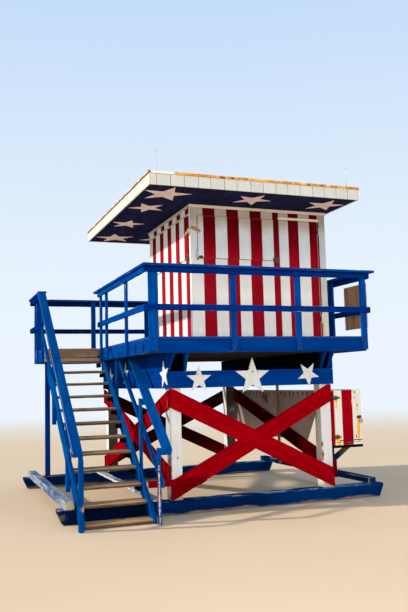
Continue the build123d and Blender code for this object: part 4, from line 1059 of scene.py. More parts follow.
# ============================================================ base
worked("skids", SKIDBLUE, "blue_paint", bev=0.010, segs=2, seg=0.11, wob=0.005, chip=0.008)
worked("cross_timbers", [TIEBLUE, PLANKW, CROSSB], "blue_paint", pick=lambda x, y, z: 1 if 0 < x < 1 else (2 if x > 1 else 0), bev=0.008, segs=2, seg=0.10, wob=0.005, chip=0.008)
worked("legs", LEGW, "white_paint", bev=0.006, segs=2, seg=0.10, wob=0.003, chip=0.005)
worked("side_post", POSTW, "bare_wood", bev=0.004, seg=0.12, wob=0.002, chip=0.003)
worked("end_beams", BLUE, "blue_paint", bev=0.004, seg=0.12, wob=0.002, chip=0.004)
worked("side_beams", BLUE, "blue_paint", bev=0.004, seg=0.12, wob=0.002, chip=0.004)
worked("side_stringers", [STRBLUE, INNER_SHADE_BLUE], "blue_paint", pick=lambda x, y, z: 1 if 0.5 < x < 3.0 else 0, bev=0.004, seg=0.14, wob=0.002, chip=0.004)
worked("end_braces", RED, "red_paint", bev=0.004, seg=0.10, wob=0.002, chip=0.004)
worked("side_braces", RED, "red_paint", bev=0.004, seg=0.10, wob=0.002, chip=0.004)
worked("stair_tie", RED, "red_paint", bev=0.004, seg=0.08, wob=0.002, chip=0.004)
worked("outriggers", BLUE, "blue_paint", bev=0.003, seg=0.10, wob=0.001, chip=0.002)
worked("beam_stars", STARW, "white_paint", bev=0.0015, seg=0.05, wob=0.0, chip=0.0)

# ============================================================ deck
worked("deck_joists", JOIST_SHADE_WOOD, "bare_wood", bev=0.003, seg=0.3, wob=0.001, chip=0.002)
worked("end_rims", RIMBLUE, "blue_paint", bev=0.004, seg=0.10, wob=0.001, chip=0.004)
worked("side_rims", RIMBLUE, "blue_paint", bev=0.004, seg=0.10, wob=0.001, chip=0.004)
worked("landing_rims", RIMBLUE, "blue_paint", bev=0.004, seg=0.10, wob=0.001, chip=0.004)
worked("landing_fascia", FASCW, "bare_wood", bev=0.004, seg=0.08, wob=0.002, chip=0.004)
worked("landing_support", BLUE, "blue_paint", bev=0.004, seg=0.12, wob=0.002, chip=0.004)

P = Piece("decking_boards", 31)
rng = random.Random(31)
xs = []
x = 0.0
while x < 3.494 - 0.02:
    xs.append((x, min(x + 0.1405, 3.494)))
    x += 0.1455
for i, (a, b) in enumerate(xs):
    cut = (1.9 if i % 2 else 2.7) + rng.uniform(-0.05, 0.05)
    for y0, y1 in ((0.0, cut - 0.002), (cut + 0.002, 4.45)):
        P.box(a, b, y0, y1, 2.475, 2.513 - rng.uniform(0, 0.0015), bev=0.004, seg=0.3, wob=0.0008, chip=0.002)
y = 3.138
while y < 4.45 - 0.02:
    P.box(-0.965, -0.002, y, min(y + 0.1405, 4.45), 2.475, 2.513 - rng.uniform(0, 0.0015), bev=0.004, seg=0.2, wob=0.0008, chip=0.002)
    y += 0.1455
P.end(DECKW, "tower", "bare_wood", ["decking"])

# ============================================================ railing
worked("railing_posts", POSTBLUE, "blue_paint", bev=0.003, seg=0.09, wob=0.0015, chip=0.004)
worked("rails", RAILBLUE, "blue_paint", bev=0.004, seg=0.10, wob=0.0015, chip=0.004)
worked("cap_rails", CAPBLUE, "blue_paint", bev=0.005, segs=2, seg=0.10, wob=0.0015, chip=0.004)

# ============================================================ stair
worked("treads", TREADW, "bare_wood", bev=0.007, segs=2, seg=0.07, wob=0.004, chip=0.006)
worked("tread_cleats", DARKWOOD, "dark_wood", bev=0.003, seg=0.08, wob=0.001, chip=0.002)
worked("stringers", HANDBLUE, "blue_paint", bev=0.005, seg=0.12, wob=0.002, chip=0.005)
worked("handrails", HANDBLUE, "blue_paint", bev=0.005, segs=2, seg=0.10, wob=0.0015, chip=0.005)
worked("stair_mid_rails", HANDBLUE, "blue_paint", bev=0.004, seg=0.10, wob=0.0015, chip=0.004)
worked("stair_posts", HANDBLUE, "blue_paint", bev=0.004, seg=0.10, wob=0.0015, chip=0.004)
worked("handrail_bearers", HANDBLUE, "blue_paint", bev=0.003, seg=0.05, wob=0.001, chip=0.002)

# ============================================================ hut walls
B8 = 0.203
CX0, CX1, CY0, CY1 = 0.960, 3.368, 0.878, 3.111
WZ0, WZ1 = 2.513, 4.649
HZ0, HZ1 = 3.862, 4.420
SK = 0.022                      # thickness of the boards


def striper(cuts):
    """1 where the board at a is red; the first board is white."""
    def f(a):
        k = sum(1 for c in cuts[1:-1] if a >= c)
        return float(k % 2)
    return f



def cut_list(a0, a1, fixed):
    return sorted({round(v, 4) for v in list(fixed) + [a0, a1] if a0 - 1e-6 <= v <= a1 + 1e-6})


NX = [0.960, 1.170, 1.373, 1.577, 1.780, 1.984, 2.187, 2.392, 2.506, 2.676, 2.865, 3.072, 3.216, 3.368]
LY = [0.878, 0.950, 1.118, 1.351, 1.542, 1.770, 1.975, 2.208, 2.409, 2.647, 2.850, 3.111]
FX = [CX0 + (CX1 - CX0) * i / 12 for i in range(13)]
tint_x, tint_y, tint_f = striper(NX), striper(LY), striper(FX)


def skin(P, axis, face, out, cuts, z0, z1, tints, hole=None, inner=SK):
    """Boards side by side. axis 'x' or 'y' is the way they are laid out, face the outer plane and out its sign."""
    f0, f1 = sorted((face, face - out * inner))
    for a, b in zip(cuts, cuts[1:]):
        t = tints((a + b) / 2)
        spans = [(a, b, z0, z1)]
        if hole:
            h0, h1 = hole
            if b > h0 + 1e-6 and a < h1 - 1e-6:
                spans = [(a, b, z0, HZ0), (a, b, HZ1, z1)]
                if a < h0 - 1e-3:
                    spans.append((a, h0, HZ0, HZ1))
                if b > h1 + 1e-3:
                    spans.append((h1, b, HZ0, HZ1))
        r = P.rng.random()
        for s0, s1, q0, q1 in spans:
            if q1 - q0 < 0.01:
                continue
            k = dict(bev=0.0035, seg=0.16, wob=0.0006, chip=0.0, tint=t, rnd=r, axes=None)
            if q1 - q0 < (s1 - s0):
                k["axes"] = (Vector((0, 0, 1)), Vector((1, 0, 0)) if axis == "x" else Vector((0, 1, 0)),
                             Vector((0, 1, 0)) if axis == "x" else Vector((-1, 0, 0)))
            if axis == "x":
                P.box(s0, s1, f0, f1, q0, q1, **k)
            else:
                P.box(f0, f1, s0, s1, q0, q1, **k)


def studs(P, axis, f0, f1, a0, a1, hole=None, posts=()):
    """The frame behind the boards, between the planes f0 and f1."""
    def bar(s0, s1, z0, z1):
        k = dict(bev=0.002, seg=0.4, wob=0.001, chip=0.001)
        if axis == "x":
            P.box(s0, s1, f0, f1, z0, z1, **k)
        else:
            P.box(f0, f1, s0, s1, z0, z1, **k)
    T = 0.038
    bar(a0, a1, WZ0, WZ0 + T)
    bar(a0, a1, WZ1 - T, WZ1)
    at = [a0 + T / 2, a1 - T / 2]
    n = max(2, round((a1 - a0) / 0.6))
    at += [a0 + (a1 - a0) * i / n for i in range(1, n)]
    for q in at:
        if hole and hole[0] - T < q < hole[1] + T:
            bar(q - T / 2, q + T / 2, WZ0 + T, HZ0 - T)
        else:
            bar(q - T / 2, q + T / 2, WZ0 + T, WZ1 - T)
    if hole:
        bar(hole[0] - T, hole[0], WZ0 + T, WZ1 - T)
        bar(hole[1], hole[1] + T, WZ0 + T, WZ1 - T)
        bar(hole[0], hole[1], HZ0 - T, HZ0)
        bar(hole[0], hole[1], HZ1, HZ1 + T)


P = Piece("near_wall_boards", 41)
skin(P, "x", CY0, -1, NX[:8] + [2.500], WZ0, WZ1, tint_x, (1.135, 2.380))
P.end(STRIPED, "tower", "striped_boards", ["near_wall"])
P = Piece("near_wall_over_door_boards", 42)
skin(P, "x", CY0, -1, [2.500, 2.676, 2.865, 3.072, 3.222], 4.484, WZ1, tint_x)
P.end(STRIPED, "tower", "striped_boards", ["near_wall_over_door"])
P = Piece("near_wall_right_boards", 43)
skin(P, "x", CY0, -1, [3.222, CX1], WZ0, WZ1, lambda x: 0.0)
P.end(STRIPED, "tower", "striped_boards", ["near_wall_right"])
P = Piece("left_wall_boards", 44)
skin(P, "y", CX0, -1, [CY0 + SK] + LY[1:-1] + [CY1 - SK], WZ0, WZ1, tint_y, (1.068, 2.921))
P.end(STRIPED, "tower", "striped_boards", ["left_wall"])
P = Piece("right_wall_boards", 45)
skin(P, "y", CX1, 1, [CY0 + SK] + LY[1:-1] + [CY1 - SK], WZ0, WZ1, tint_y, (1.068, 2.921))
P.end(STRIPED, "tower", "striped_boards", ["right_wall"])
P = Piece("far_wall_boards", 46)
skin(P, "x", CY1, 1, FX, WZ0, WZ1, tint_f, (1.300, 3.000))
P.end(STRIPED, "tower", "striped_boards", ["far_wall"])

P = Piece("hut_frame", 47)
studs(P, "x", CY0 + SK, CY0 + 0.1, CX0 + SK, 2.498, (1.135, 2.380))
studs(P, "x", CY0 + SK, CY0 + 0.1, 3.224, CX1 - SK)
studs(P, "x", CY1 - 0.1, CY1 - SK, CX0 + SK, CX1 - SK, (1.300, 3.000))
studs(P, "y", CX0 + SK, CX0 + 0.1, CY0 + 0.102, CY1 - 0.102, (1.068, 2.921))
studs(P, "y", CX1 - 0.1, CX1 - SK, CY0 + 0.102, CY1 - 0.102, (1.068, 2.921))
P.box(2.500, 3.222, CY0 + SK, CY0 + 0.1, 4.484, 4.522, bev=0.002, seg=0.3)
P.box(2.500, 3.222, CY0 + SK, CY0 + 0.1, 4.611, 4.649, bev=0.002, seg=0.3)
for i in range(9):               # ceiling joists across the hut
    yy = 1.05 + i * 0.235
    P.box(1.062, 3.266, yy, yy + 0.038, 4.575, 4.649, bev=0.002, seg=0.4)
P.end(PINEW, "tower", "bare_wood")

# ---- shutters
P = Piece("shutters_w", 48)


def shutter(axis, face, out, a0, a1, cuts, tints):
    skin(P, axis, face + out * SK, out, cut_list(a0, a1, cuts), 3.800, 4.475, tints, inner=SK - 0.001)


shutter("x", CY0, -1, 1.075, 2.440, NX, tint_x)
shutter("x", CY1, 1, 1.240, 3.060, FX, tint_f)
shutter("y", CX0, -1, 0.973, 3.016, LY, tint_y)
shutter("y", CX1, 1, 0.973, 3.016, LY, tint_y)
P.end(STRIPED, "tower", "striped_boards", ["shutters"])

# ---- door leaf
P = Piece("cabin_door_w", 49)
skin(P, "x", CY0, -1, [2.506, 2.676, 2.865, 3.072, 3.216], 2.525, 4.478, tint_x)
for z in (2.62, 3.43, 4.24):
    P.box(2.53, 3.192, 0.9005, 0.920, z, z + 0.14, bev=0.003, seg=0.2, tint=0.0)
for za, zb in ((2.775, 3.415), (3.585, 4.225)):
    pts = [L(2.55, 0.9005, za), L(2.71, 0.9005, za), L(3.17, 0.9005, zb), L(3.01, 0.9005, zb)]
    P.add(prism_bm(pts, Vector((0, 0.0195, 0))), bev=0.003, seg=0.2, tint=0.0)
P.end(STRIPED, "cabin_door_leaf", "striped_boards", ["cabin_door"])

# ---- trim
worked("cornice", TRIM_SHADE_TAN, "white_paint", bev=0.003, seg=0.25, wob=0.0, chip=0.0)
worked("hut_trim", TRIM_SHADE_TAN, "white_paint", bev=0.003, seg=0.10, wob=0.001, chip=0.002)
P = Piece("door_bead", 50)
for z0, z1 in ((2.53, 2.80), (2.92, 4.26), (4.38, 4.478)):
    pts = [L(3.2245, 0.8785, z0), L(3.2445, 0.8785, z0), L(3.2445, 0.8685, z0), L(3.2385, 0.8625, z0), L(3.2320, 0.8645, z0), L(3.2245, 0.8720, z0)]
    P.add(prism_bm(pts, Vector((0, 0, z1 - z0))), bev=0.0, seg=0.15, wob=0, chip=0, tint=1.0)
P.end(STRIPED, "tower", "striped_boards")

# ============================================================ roof
GX = [0.021, 0.13, 0.339, 0.546, 0.763, 0.949, 1.166, 1.366, 1.586, 1.79, 1.996, 2.198, 2.407, 2.622, 2.823, 3.037, 3.24, 3.440]
P = Piece("end_fascias_w", 51)
V = (Vector((0, 0, 1)), Vector((1, 0, 0)), Vector((0, 1, 0)))
gx = [0.043] + GX[1:-1] + [3.418]
for a, b in zip(gx, gx[1:]):
    a, b = a + (0.0 if a == gx[0] else 0.0026), b - (0.0 if b == gx[-1] else 0.0026)
    P.box(a, b, -0.067, -0.045, 4.646, 4.843, bev=0.0022, seg=0.1, wob=0.001, chip=0, axes=V)
    P.box(a, b, 4.128, 4.150, 4.646, 4.843, bev=0.0022, seg=0.1, wob=0.001, chip=0, axes=V)
P.end(FASCIA, "tower", "white_paint", ["end_fascias"])
P = Piece("long_fascias_w", 52)
V = (Vector((0, 0, 1)), Vector((0, 1, 0)), Vector((-1, 0, 0)))
gy = [-0.067] + [0.135 + 0.206 * i for i in range(20)]
gy = [q for q in gy if q < 4.08] + [4.150]
for a, b in zip(gy, gy[1:]):
    a, b = a + (0.0 if a == gy[0] else 0.0022), b - (0.0 if b == gy[-1] else 0.0022)
    P.box(0.021, 0.043, a, b, 4.646, 4.843, bev=0.0022, seg=0.1, wob=0.001, chip=0, axes=V)
    P.box(3.418, 3.440, a, b, 4.646, 4.843, bev=0.0022, seg=0.1, wob=0.001, chip=0, axes=V)
P.end(FASCIA, "tower", "white_paint", ["long_fascias"])

P = Piece("soffit_sheets", 53)
sx = [0.043, 1.262, 2.481, 3.418]
sy = [-0.045, 1.30, 2.52, 3.74, 4.128]
V = (Vector((0, 1, 0)), Vector((1, 0, 0)), Vector((0, 0, -1)))
for a, b in zip(sx, sx[1:]):
    for c, d in zip(sy, sy[1:]):
        P.box(a + 0.0008, b - 0.0008, c + 0.0008, d - 0.0008, 4.6495, 4.667, bev=0.002, seg=0.3, wob=0.0, chip=0, axes=V)
P.end(NAVY, "tower", "soffit_paint", ["soffit"])


def star_pts(cx, cy, R, rot, inner=0.40):
    out = []
    for i in range(10):
        rr = R if i % 2 == 0 else R * inner
        a = math.radians(rot + 36 * i)
        out.append((cx + rr * math.cos(a), cy + rr * math.sin(a)))
    return out


P = Piece("soffit_stars", 54)
SOFST = [(0.416, 0.406, 0.385, -87), (0.379, 1.271, 0.30, -123), (0.370, 2.477, 0.30, -88), (0.445, 3.703, 0.38, -104),
         (1.807, 0.382, 0.31, -76), (3.08, 0.391, 0.33, -91),
         (1.25, 3.64, 0.33, -60), (2.20, 3.62, 0.30, -95), (3.02, 3.70, 0.36, -80)]
for cx, cy, R, rot in SOFST:
    pts = [L(a, b, 4.6468) for a, b in star_pts(cx, cy, R, rot)]
    pts = [Vector((min(max(q.x, 0.046 - OX), 3.415 - OX), min(max(q.y, -0.042 - OY), 4.125 - OY), q.z)) for q in pts]
    P.add(prism_bm(pts, Vector((0, 0, 0.0026))), bev=0.0006, seg=0.08, wob=0, chip=0, axes=V)
P.end(STARTAN, "tower", "white_paint")

# roofing felt in overlapping strips over the deck of the roof
P = Piece("roofing_strips", 55)
yb = [-0.045, 0.89, 1.83, 2.77, 3.70, 4.128]
for i, (a, b) in enumerate(zip(yb, yb[1:])):
    bm = bmesh.new()
    nx, ny = 28, 8
    b2 = min(b + 0.06, 4.128)
    grid_t, grid_b = [], []
    for iy in range(ny + 1):
        for ix in range(nx + 1):
            x = 0.043 + (3.418 - 0.043) * ix / nx
            y = a + (b2 - a) * iy / ny
            w = noise.noise(Vector((x * 1.7, y * 1.7, 4.0 + i))) * 0.0025
            sag = -0.006 * math.sin(math.pi * ix / nx)
            z = 4.8335 + (i % 2) * 0.0032 + w * 0.6 + sag
            grid_t.append(bm.verts.new(L(x, y, z)))
            grid_b.append(bm.verts.new(L(x, y, z - 0.0105 if i % 2 == 0 else z - 0.003)))
    R = nx + 1
    for iy in range(ny):
        for ix in range(nx):
            q = iy * R + ix
            bm.faces.new((grid_t[q], grid_t[q + 1], grid_t[q + 1 + R], grid_t[q + R]))
            bm.faces.new((grid_b[q + R], grid_b[q + 1 + R], grid_b[q + 1], grid_b[q]))
    for ix in range(nx):
        q, e = ix, ny * R + ix
        bm.faces.new((grid_b[q], grid_b[q + 1], grid_t[q + 1], grid_t[q]))
        bm.faces.new((grid_t[e], grid_t[e + 1], grid_b[e + 1], grid_b[e]))
    for iy in range(ny):
        q, e = iy * R, iy * R + nx
        bm.faces.new((grid_t[q], grid_t[q + R], grid_b[q + R], grid_b[q]))
        bm.faces.new((grid_b[e], grid_b[e + R], grid_t[e + R], grid_t[e]))
    bmesh.ops.recalc_face_normals(bm, faces=bm.faces[:])
    P.add(bm, bev=0, seg=0, wob=0, chip=0)
P.end(ROOFING, "tower", "roof_sheet", ["roof_deck"])

# drip edge: a folded strip, dented along its length
P = Piece("drip_edge_w", 56)


def drip(a, b, outv):
    """One side's strip from a to b (layout x, y), facing outv."""
    a, b, outv = Vector(a), Vector(b), Vector(outv)
    d = b - a
    n = int(d.length / 0.07)
    prof = [(0.0, 4.8065), (0.0, 4.8445), (-0.003, 4.8475), (-0.070, 4.8475), (-0.070, 4.8450), (-0.0055, 4.8450), (-0.0030, 4.8425), (-0.0030, 4.8065)]
    bm = bmesh.new()
    rings = []
    for i in range(n + 1):
        q = a + d * i / n
        s = noise.noise(Vector((q.x * 3.1, q.y * 3.1, 9.0)))
        s2 = noise.noise(Vector((q.x * 7.3, q.y * 7.3, 2.0)))
        ring = []
        for j, (o, z) in enumerate(prof):
            low = z < 4.83
            push = -0.0035 * (0.5 + 0.5 * s) * (1.0 if low else 0.3)
            lift = 0.004 * max(0.0, s2) if low else 0.0
            w = q + outv * (o + push)
            ring.append(bm.verts.new(L(w.x, w.y, z + lift)))
        rings.append(ring)
    m = len(prof)
    for i in range(n):
        for j in range(m):
            bm.faces.new((rings[i][j], rings[i][(j + 1) % m], rings[i + 1][(j + 1) % m], rings[i + 1][j]))
    bm.faces.new(rings[0][::-1])
    bm.faces.new(rings[-1])
    bmesh.ops.recalc_face_normals(bm, faces=bm.faces[:])
    P.add(bm, bev=0, seg=0, wob=0, chip=0)


drip((0.013, -0.075), (3.448, -0.075), (0, -1))
drip((3.448, 4.158), (0.013, 4.158), (0, 1))
drip((0.013, 4.155), (0.013, -0.072), (-1, 0))
drip((3.448, -0.072), (3.448, 4.155), (1, 0))
P.end(DRIP, "tower", "rusty_steel", ["drip_edge"])

P = Piece("aerials_w", 57)
for x in (0.150, 3.255):
    path = [L(x, -0.02, 4.846 + 0.328 * i / 8) for i in range(9)]
    P.add(tube_bm(path, 0.0046, 8, taper=[1.0, 1.0, 1.0, 0.82, 0.8, 0.62, 0.6, 0.6, 0.6]), bev=0, seg=0, wob=0, chip=0, smooth=True)
    P.add(tube_bm([L(x, -0.02, 4.8445), L(x, -0.02, 4.862), L(x, -0.02, 4.874)], 0.012, 12, taper=[1, 1, 0.5]), bev=0.001, seg=0, wob=0, chip=0)
    P.box(x - 0.03, x + 0.03, -0.05, 0.01, 4.8440, 4.8470, bev=0.001, seg=0, wob=0, chip=0)
P.end(ALU, "tower", "aerial_metal", ["aerials"])

# ============================================================ locker
LX0, LX1, MY0, MY1, LZ0, LZ1 = 3.101, 3.590, 0.380, 0.980, 0.835, 1.690


def tint_l(x):
    return 1.0 if 3.239 < x < 3.427 else 0.0


LC = [LX0, 3.239, 3.427, LX1]
P = Piece("locker_box_w", 61)
V = (Vector((0, 0, 1)), Vector((1, 0, 0)), Vector((0, 1, 0)))
W = (Vector((0, 0, 1)), Vector((0, 1, 0)), Vector((-1, 0, 0)))
for a, b in zip(LC, LC[1:]):     # rail under the door, back and top
    P.box(a, b, MY0 + 0.001, MY0 + 0.020, LZ0, LZ0 + 0.040, bev=0.002, seg=0, wob=0, chip=0, tint=tint_l((a + b) / 2), axes=V)
    P.box(a, b, MY1 - 0.019, MY1, LZ0, LZ1, bev=0.003, seg=0.12, tint=tint_l((a + b) / 2))
    P.box(a, b, MY0 + 0.021, MY1 - 0.020, LZ1 - 0.019, LZ1, bev=0.003, seg=0.12, tint=tint_l((a + b) / 2))
ly = [MY0 + 0.021, 0.55, 0.755, MY1 - 0.020]
for i, (a, b) in enumerate(zip(ly, ly[1:])):
    for x0 in (LX0, LX1 - 0.019):
        P.box(x0, x0 + 0.019, a, b, LZ0, LZ1 - 0.020, bev=0.003, seg=0.12, tint=1.0 if x0 == LX0 else float(i % 2))
P.box(LX0 + 0.019, LX1 - 0.019, MY0 + 0.021, MY1 - 0.020, LZ0, LZ0 + 0.036, bev=0.002, seg=0.2)
P.end(LOCKER, "tower", "striped_boards", ["locker_box"])
P = Piece("locker_door_w", 62)
for a, b in ((3.105, 3.239), (3.239, 3.427), (3.427, 3.588)):
    P.box(a, b, MY0, MY0 + 0.0185, LZ0 + 0.045, LZ1 - 0.002, bev=0.0025, seg=0.08, wob=0.0008, chip=0.0, tint=tint_l((a + b) / 2))
P.end(LOCKER, "locker_door_leaf", "striped_boards", ["locker_door"])
worked("locker_shelf", DARKWOOD, "dark_wood", bev=0.003, seg=0.08, wob=0.001, chip=0.003)
worked("locker_brackets", KNEEW, "dark_wood", bev=0.003, seg=0.06, wob=0.001, chip=0.003)
worked("side_panel", PANELW, "bare_wood", bev=0.002, seg=0.2, wob=0.0, chip=0.0)

P = Piece("sign_board_w", 63)
by = [0.06, 0.222, 0.383, 0.540, 0.70]
V = (Vector((0, 0, 1)), Vector((0, 1, 0)), Vector((-1, 0, 0)))
for a, b in zip(by, by[1:]):
    P.box(3.570, 3.582 - 0.001 * P.rng.random(), a, b, 2.650, 3.350, bev=0.0018, seg=0.08, wob=0.0006, chip=0.0, axes=V)
P.end(BOARDW, "tower", "bare_wood", ["sign_board"])

# ============================================================ hardware
def plate(P, x0, x1, y0, y1, z0, z1, mat=0):
    P.box(x0, x1, y0, y1, z0, z1, bev=0.0009, seg=0, wob=0, chip=0, mat=mat)


HX, HY = 3.219, 0.864
PD, PW = Piece("door_hinge_straps_w", 71), Piece("hinge_leaves_w", 72)
for z in (4.320, 2.860):
    PD.box(3.156, 3.210, 0.8725, 0.8775, z - 0.050, z + 0.050, bev=0.0009, seg=0, wob=0, chip=0, mat=1, tint=1.0)
    PW.box(3.228, 3.282, 0.8725, 0.8775, z - 0.050, z + 0.050, bev=0.0009, seg=0, wob=0, chip=0, mat=1, tint=0.0)
    for i in range(5):
        q = PW if i % 2 == 0 else PD
        z0 = z - 0.050 + i * 0.020 + 0.0008
        q.add(tube_bm([L(HX, HY, z0), L(HX, HY, z0 + 0.0184)], 0.0095, 12), bev=0.0006, seg=0, wob=0, chip=0, smooth=False, mat=2)
        s = 1 if q is PW else -1
        xa, xb = sorted((HX + s * 0.003, HX + s * 0.012))
        plate(q, xa, xb, 0.8700, 0.8765, z0, z0 + 0.0184, mat=2)
    for dz in (-0.033, 0.0, 0.033):
        PD.dome((3.175 + (0.012 if dz == 0 else 0), 0.8725, z + dz), (0, -1, 0), 0.0048, 0.0016, tint=1.0, mat=1)
        PW.dome((3.263 - (0.012 if dz == 0 else 0), 0.8725, z + dz), (0, -1, 0), 0.0048, 0.0016, mat=1)
PLL = Piece("locker_hinge_straps_w", 73)
PX, PY = 3.103, 0.370
for z in (LZ0 + 0.125, LZ1 - 0.125):
    plate(PW, 3.0982, 3.1005, 0.402, 0.450, z - 0.040, z + 0.040)
    PW.dome((3.0982, 0.418, z + 0.022), (-1, 0, 0), 0.0045, 0.0016)
    PW.dome((3.0982, 0.436, z - 0.022), (-1, 0, 0), 0.0045, 0.0016)
    pts = [L(3.112, 0.3762, z - 0.030), L(3.132, 0.3762, z - 0.028), L(3.140, 0.3762, z - 0.015), L(3.212, 0.3762, z - 0.008), L(3.220, 0.3762, z),
           L(3.212, 0.3762, z + 0.008), L(3.140, 0.3762, z + 0.015), L(3.132, 0.3762, z + 0.028), L(3.112, 0.3762, z + 0.030)]
    PLL.add(prism_bm(pts, Vector((0, 0.0032, 0))), bev=0.0006, seg=0, wob=0, chip=0)
    for i in range(3):
        q = PW if i != 1 else PLL
        z0 = z - 0.030 + i * 0.020 + 0.001
        q.add(tube_bm([L(PX, PY, z0), L(PX, PY, z0 + 0.018)], 0.0062, 10), bev=0.0006, seg=0, wob=0, chip=0)
        if q is PW:
            pts = [L(3.0985, 0.402, z0), L(3.1005, 0.402, z0), L(3.1035, 0.3755, z0), L(3.1000, 0.3755, z0)]
            q.add(prism_bm(pts, Vector((0, 0, 0.018))), bev=0, seg=0, wob=0, chip=0)
        else:
            plate(q, 3.106, 3.114, 0.3738, 0.3790, z0, z0 + 0.018)
    for dx in (0.022, 0.052, 0.092):
        PLL.dome((3.103 + dx + 0.012, 0.3762, z), (0, -1, 0), 0.0048, 0.0018)
PD.end([STEEL, STRIPED, DARKST], "cabin_door_leaf", "rusty_steel", ["door_hinge_straps"])
PW.end([STEEL, STRIPED, DARKST], "tower", "rusty_steel", ["hinge_leaves"])
PLL.end(HINGE, "locker_door_leaf", "rusty_steel", ["locker_hinge_straps"])


def arc_path(c, r, a0, a1, n, plane, legs=0.0):
    """Points of a shackle: an arc in the x-z or y-z plane with straight legs down."""
    pts = []
    for i in range(n + 1):
        a = math.radians(a0 + (a1 - a0) * i / n)
        u, w = r * math.cos(a), r * math.sin(a)
        pts.append(L(c[0] + u, c[1], c[2] + w) if plane == "x" else L(c[0], c[1] + u, c[2] + w))
    if legs:
        pts = [pts[0] - Vector((0, 0, legs))] + pts + [pts[-1] - Vector((0, 0, legs))]
    return pts


def padlock(P, c, plane, w, h, t, mat=1):
    """A closed padlock whose body's middle is the layout point c."""
    x, y, z = c
    if plane == "x":
        P.box(x - w / 2, x + w / 2, y - t / 2, y + t / 2, z - h / 2, z + h / 2, bev=0.003, segs=2, seg=0, wob=0, chip=0, mat=mat)
    else:
        P.box(x - t / 2, x + t / 2, y - w / 2, y + w / 2, z - h / 2, z + h / 2, bev=0.003, segs=2, seg=0, wob=0, chip=0, mat=mat)
    P.add(tube_bm(arc_path((x, y, z + h / 2 + 0.012), w * 0.32, 0, 180, 10, plane, 0.014), 0.0032, 8), bev=0, seg=0, wob=0, chip=0, mat=mat, smooth=True)


# locker hasp, staple and padlock
P = Piece("locker_hasp_w", 74)
pts = [L(3.520, 0.3762, 1.238), L(3.572, 0.3762, 1.230), L(3.584, 0.3762, 1.242), L(3.584, 0.3762, 1.273), L(3.572, 0.3762, 1.285), L(3.520, 0.3762, 1.277)]
P.add(prism_bm(pts, Vector((0, 0.0033, 0))), bev=0.0006, seg=0, wob=0, chip=0)
P.add(tube_bm([L(3.527, 0.3722, 1.236), L(3.527, 0.3722, 1.279)], 0.0045, 8), bev=0, seg=0, wob=0, chip=0)
plate(P, 3.500, 3.524, 0.3765, 0.3796, 1.240, 1.275)
for q in ((3.508, 1.249), (3.508, 1.266), (3.540, 1.258)):
    P.dome((q[0], 0.3762, q[1]), (0, -1, 0), 0.004, 0.0016)
P.add(tube_bm(arc_path((3.566, 0.3762, 1.257), 0.010, 0, 360, 14, "x"), 0.0028, 6, cap=False), bev=0, seg=0, wob=0, chip=0, smooth=True)
padlock(P, (3.568, 0.3600, 1.196), "x", 0.052, 0.052, 0.020)
P.end([HINGE, BRASS], "locker_door_leaf", "rusty_steel", ["locker_hasp"])

# slide latches and hasps of the hatches
P = Piece("hatch_latches_w", 75)
ys = CY0 - SK
plate(P, 1.088, 1.152, ys - 0.0035, ys - 0.0003, 3.788, 3.836)
P.add(tube_bm([L(1.064, ys - 0.0085, 3.812), L(1.160, ys - 0.0085, 3.812)], 0.0058, 8), bev=0.0008, seg=0, wob=0, chip=0)
plate(P, 1.094, 1.104, ys - 0.0155, ys - 0.003, 3.800, 3.824)
plate(P, 1.136, 1.146, ys - 0.0155, ys - 0.003, 3.800, 3.824)
P.add(tube_bm([L(1.120, ys - 0.010, 3.812), L(1.120, ys - 0.0155, 3.804), L(1.120, ys - 0.016, 3.782)], 0.004, 8), bev=0, seg=0, wob=0, chip=0)
plate(P, 1.060, 1.074, CY0 - 0.030, CY0 - 0.001, 3.770, 3.799)
# right: strap, staple and padlock
plate(P, 2.372, 2.436, ys - 0.0035, ys - 0.0003, 3.806, 3.848)
plate(P, 2.444, 2.492, CY0 - 0.0035, CY0 - 0.0003, 3.802, 3.852)
plate(P, 2.366, 2.434, ys - 0.0070, ys - 0.0036, 3.814, 3.840)
P.add(tube_bm([L(2.418, ys - 0.004, 3.846), L(2.414, ys - 0.010, 3.880), L(2.410, ys - 0.008, 3.915), L(2.409, ys - 0.004, 3.944)], 0.0042, 8),
      bev=0, seg=0, wob=0, chip=0)
P.add(tube_bm(arc_path((2.432, ys - 0.0045, 3.826), 0.013, 0, 360, 14, "x"), 0.0034, 6, cap=False), bev=0, seg=0, wob=0, chip=0, smooth=True)
padlock(P, (2.430, ys - 0.016, 3.782), "x", 0.046, 0.042, 0.020, mat=0)
for q in ((2.380, 3.827), (2.428, 3.812), (2.428, 3.842), (1.094, 3.793), (1.146, 3.793), (1.094, 3.831), (1.146, 3.831)):
    P.dome((q[0], ys - 0.0036, q[1]), (0, -1, 0), 0.004, 0.0015)
for q in ((2.480, 3.812), (2.480, 3.842)):
    P.dome((q[0], CY0 - 0.0036, q[1]), (0, -1, 0), 0.004, 0.0015)
# left wall
xs_ = CX0 - SK
plate(P, xs_ - 0.0035, xs_ - 0.0003, 0.981, 1.045, 3.788, 3.836)
P.add(tube_bm([L(xs_ - 0.0085, 0.958, 3.812), L(xs_ - 0.0085, 1.052, 3.812)], 0.0058, 8), bev=0.0008, seg=0, wob=0, chip=0)
plate(P, xs_ - 0.0150, xs_ - 0.003, 0.987, 0.997, 3.800, 3.824)
plate(P, xs_ - 0.0150, xs_ - 0.003, 1.029, 1.039, 3.800, 3.824)
padlock(P, (xs_ - 0.010, 0.972, 3.786), "y", 0.040, 0.038, 0.016, mat=0)
P.end([LATCH, BRASS], "tower", "rusty_steel", ["hatch_latches"])

# bare turn buttons at the top corners of the near and left hatches
P = Piece("turn_buttons", 76)


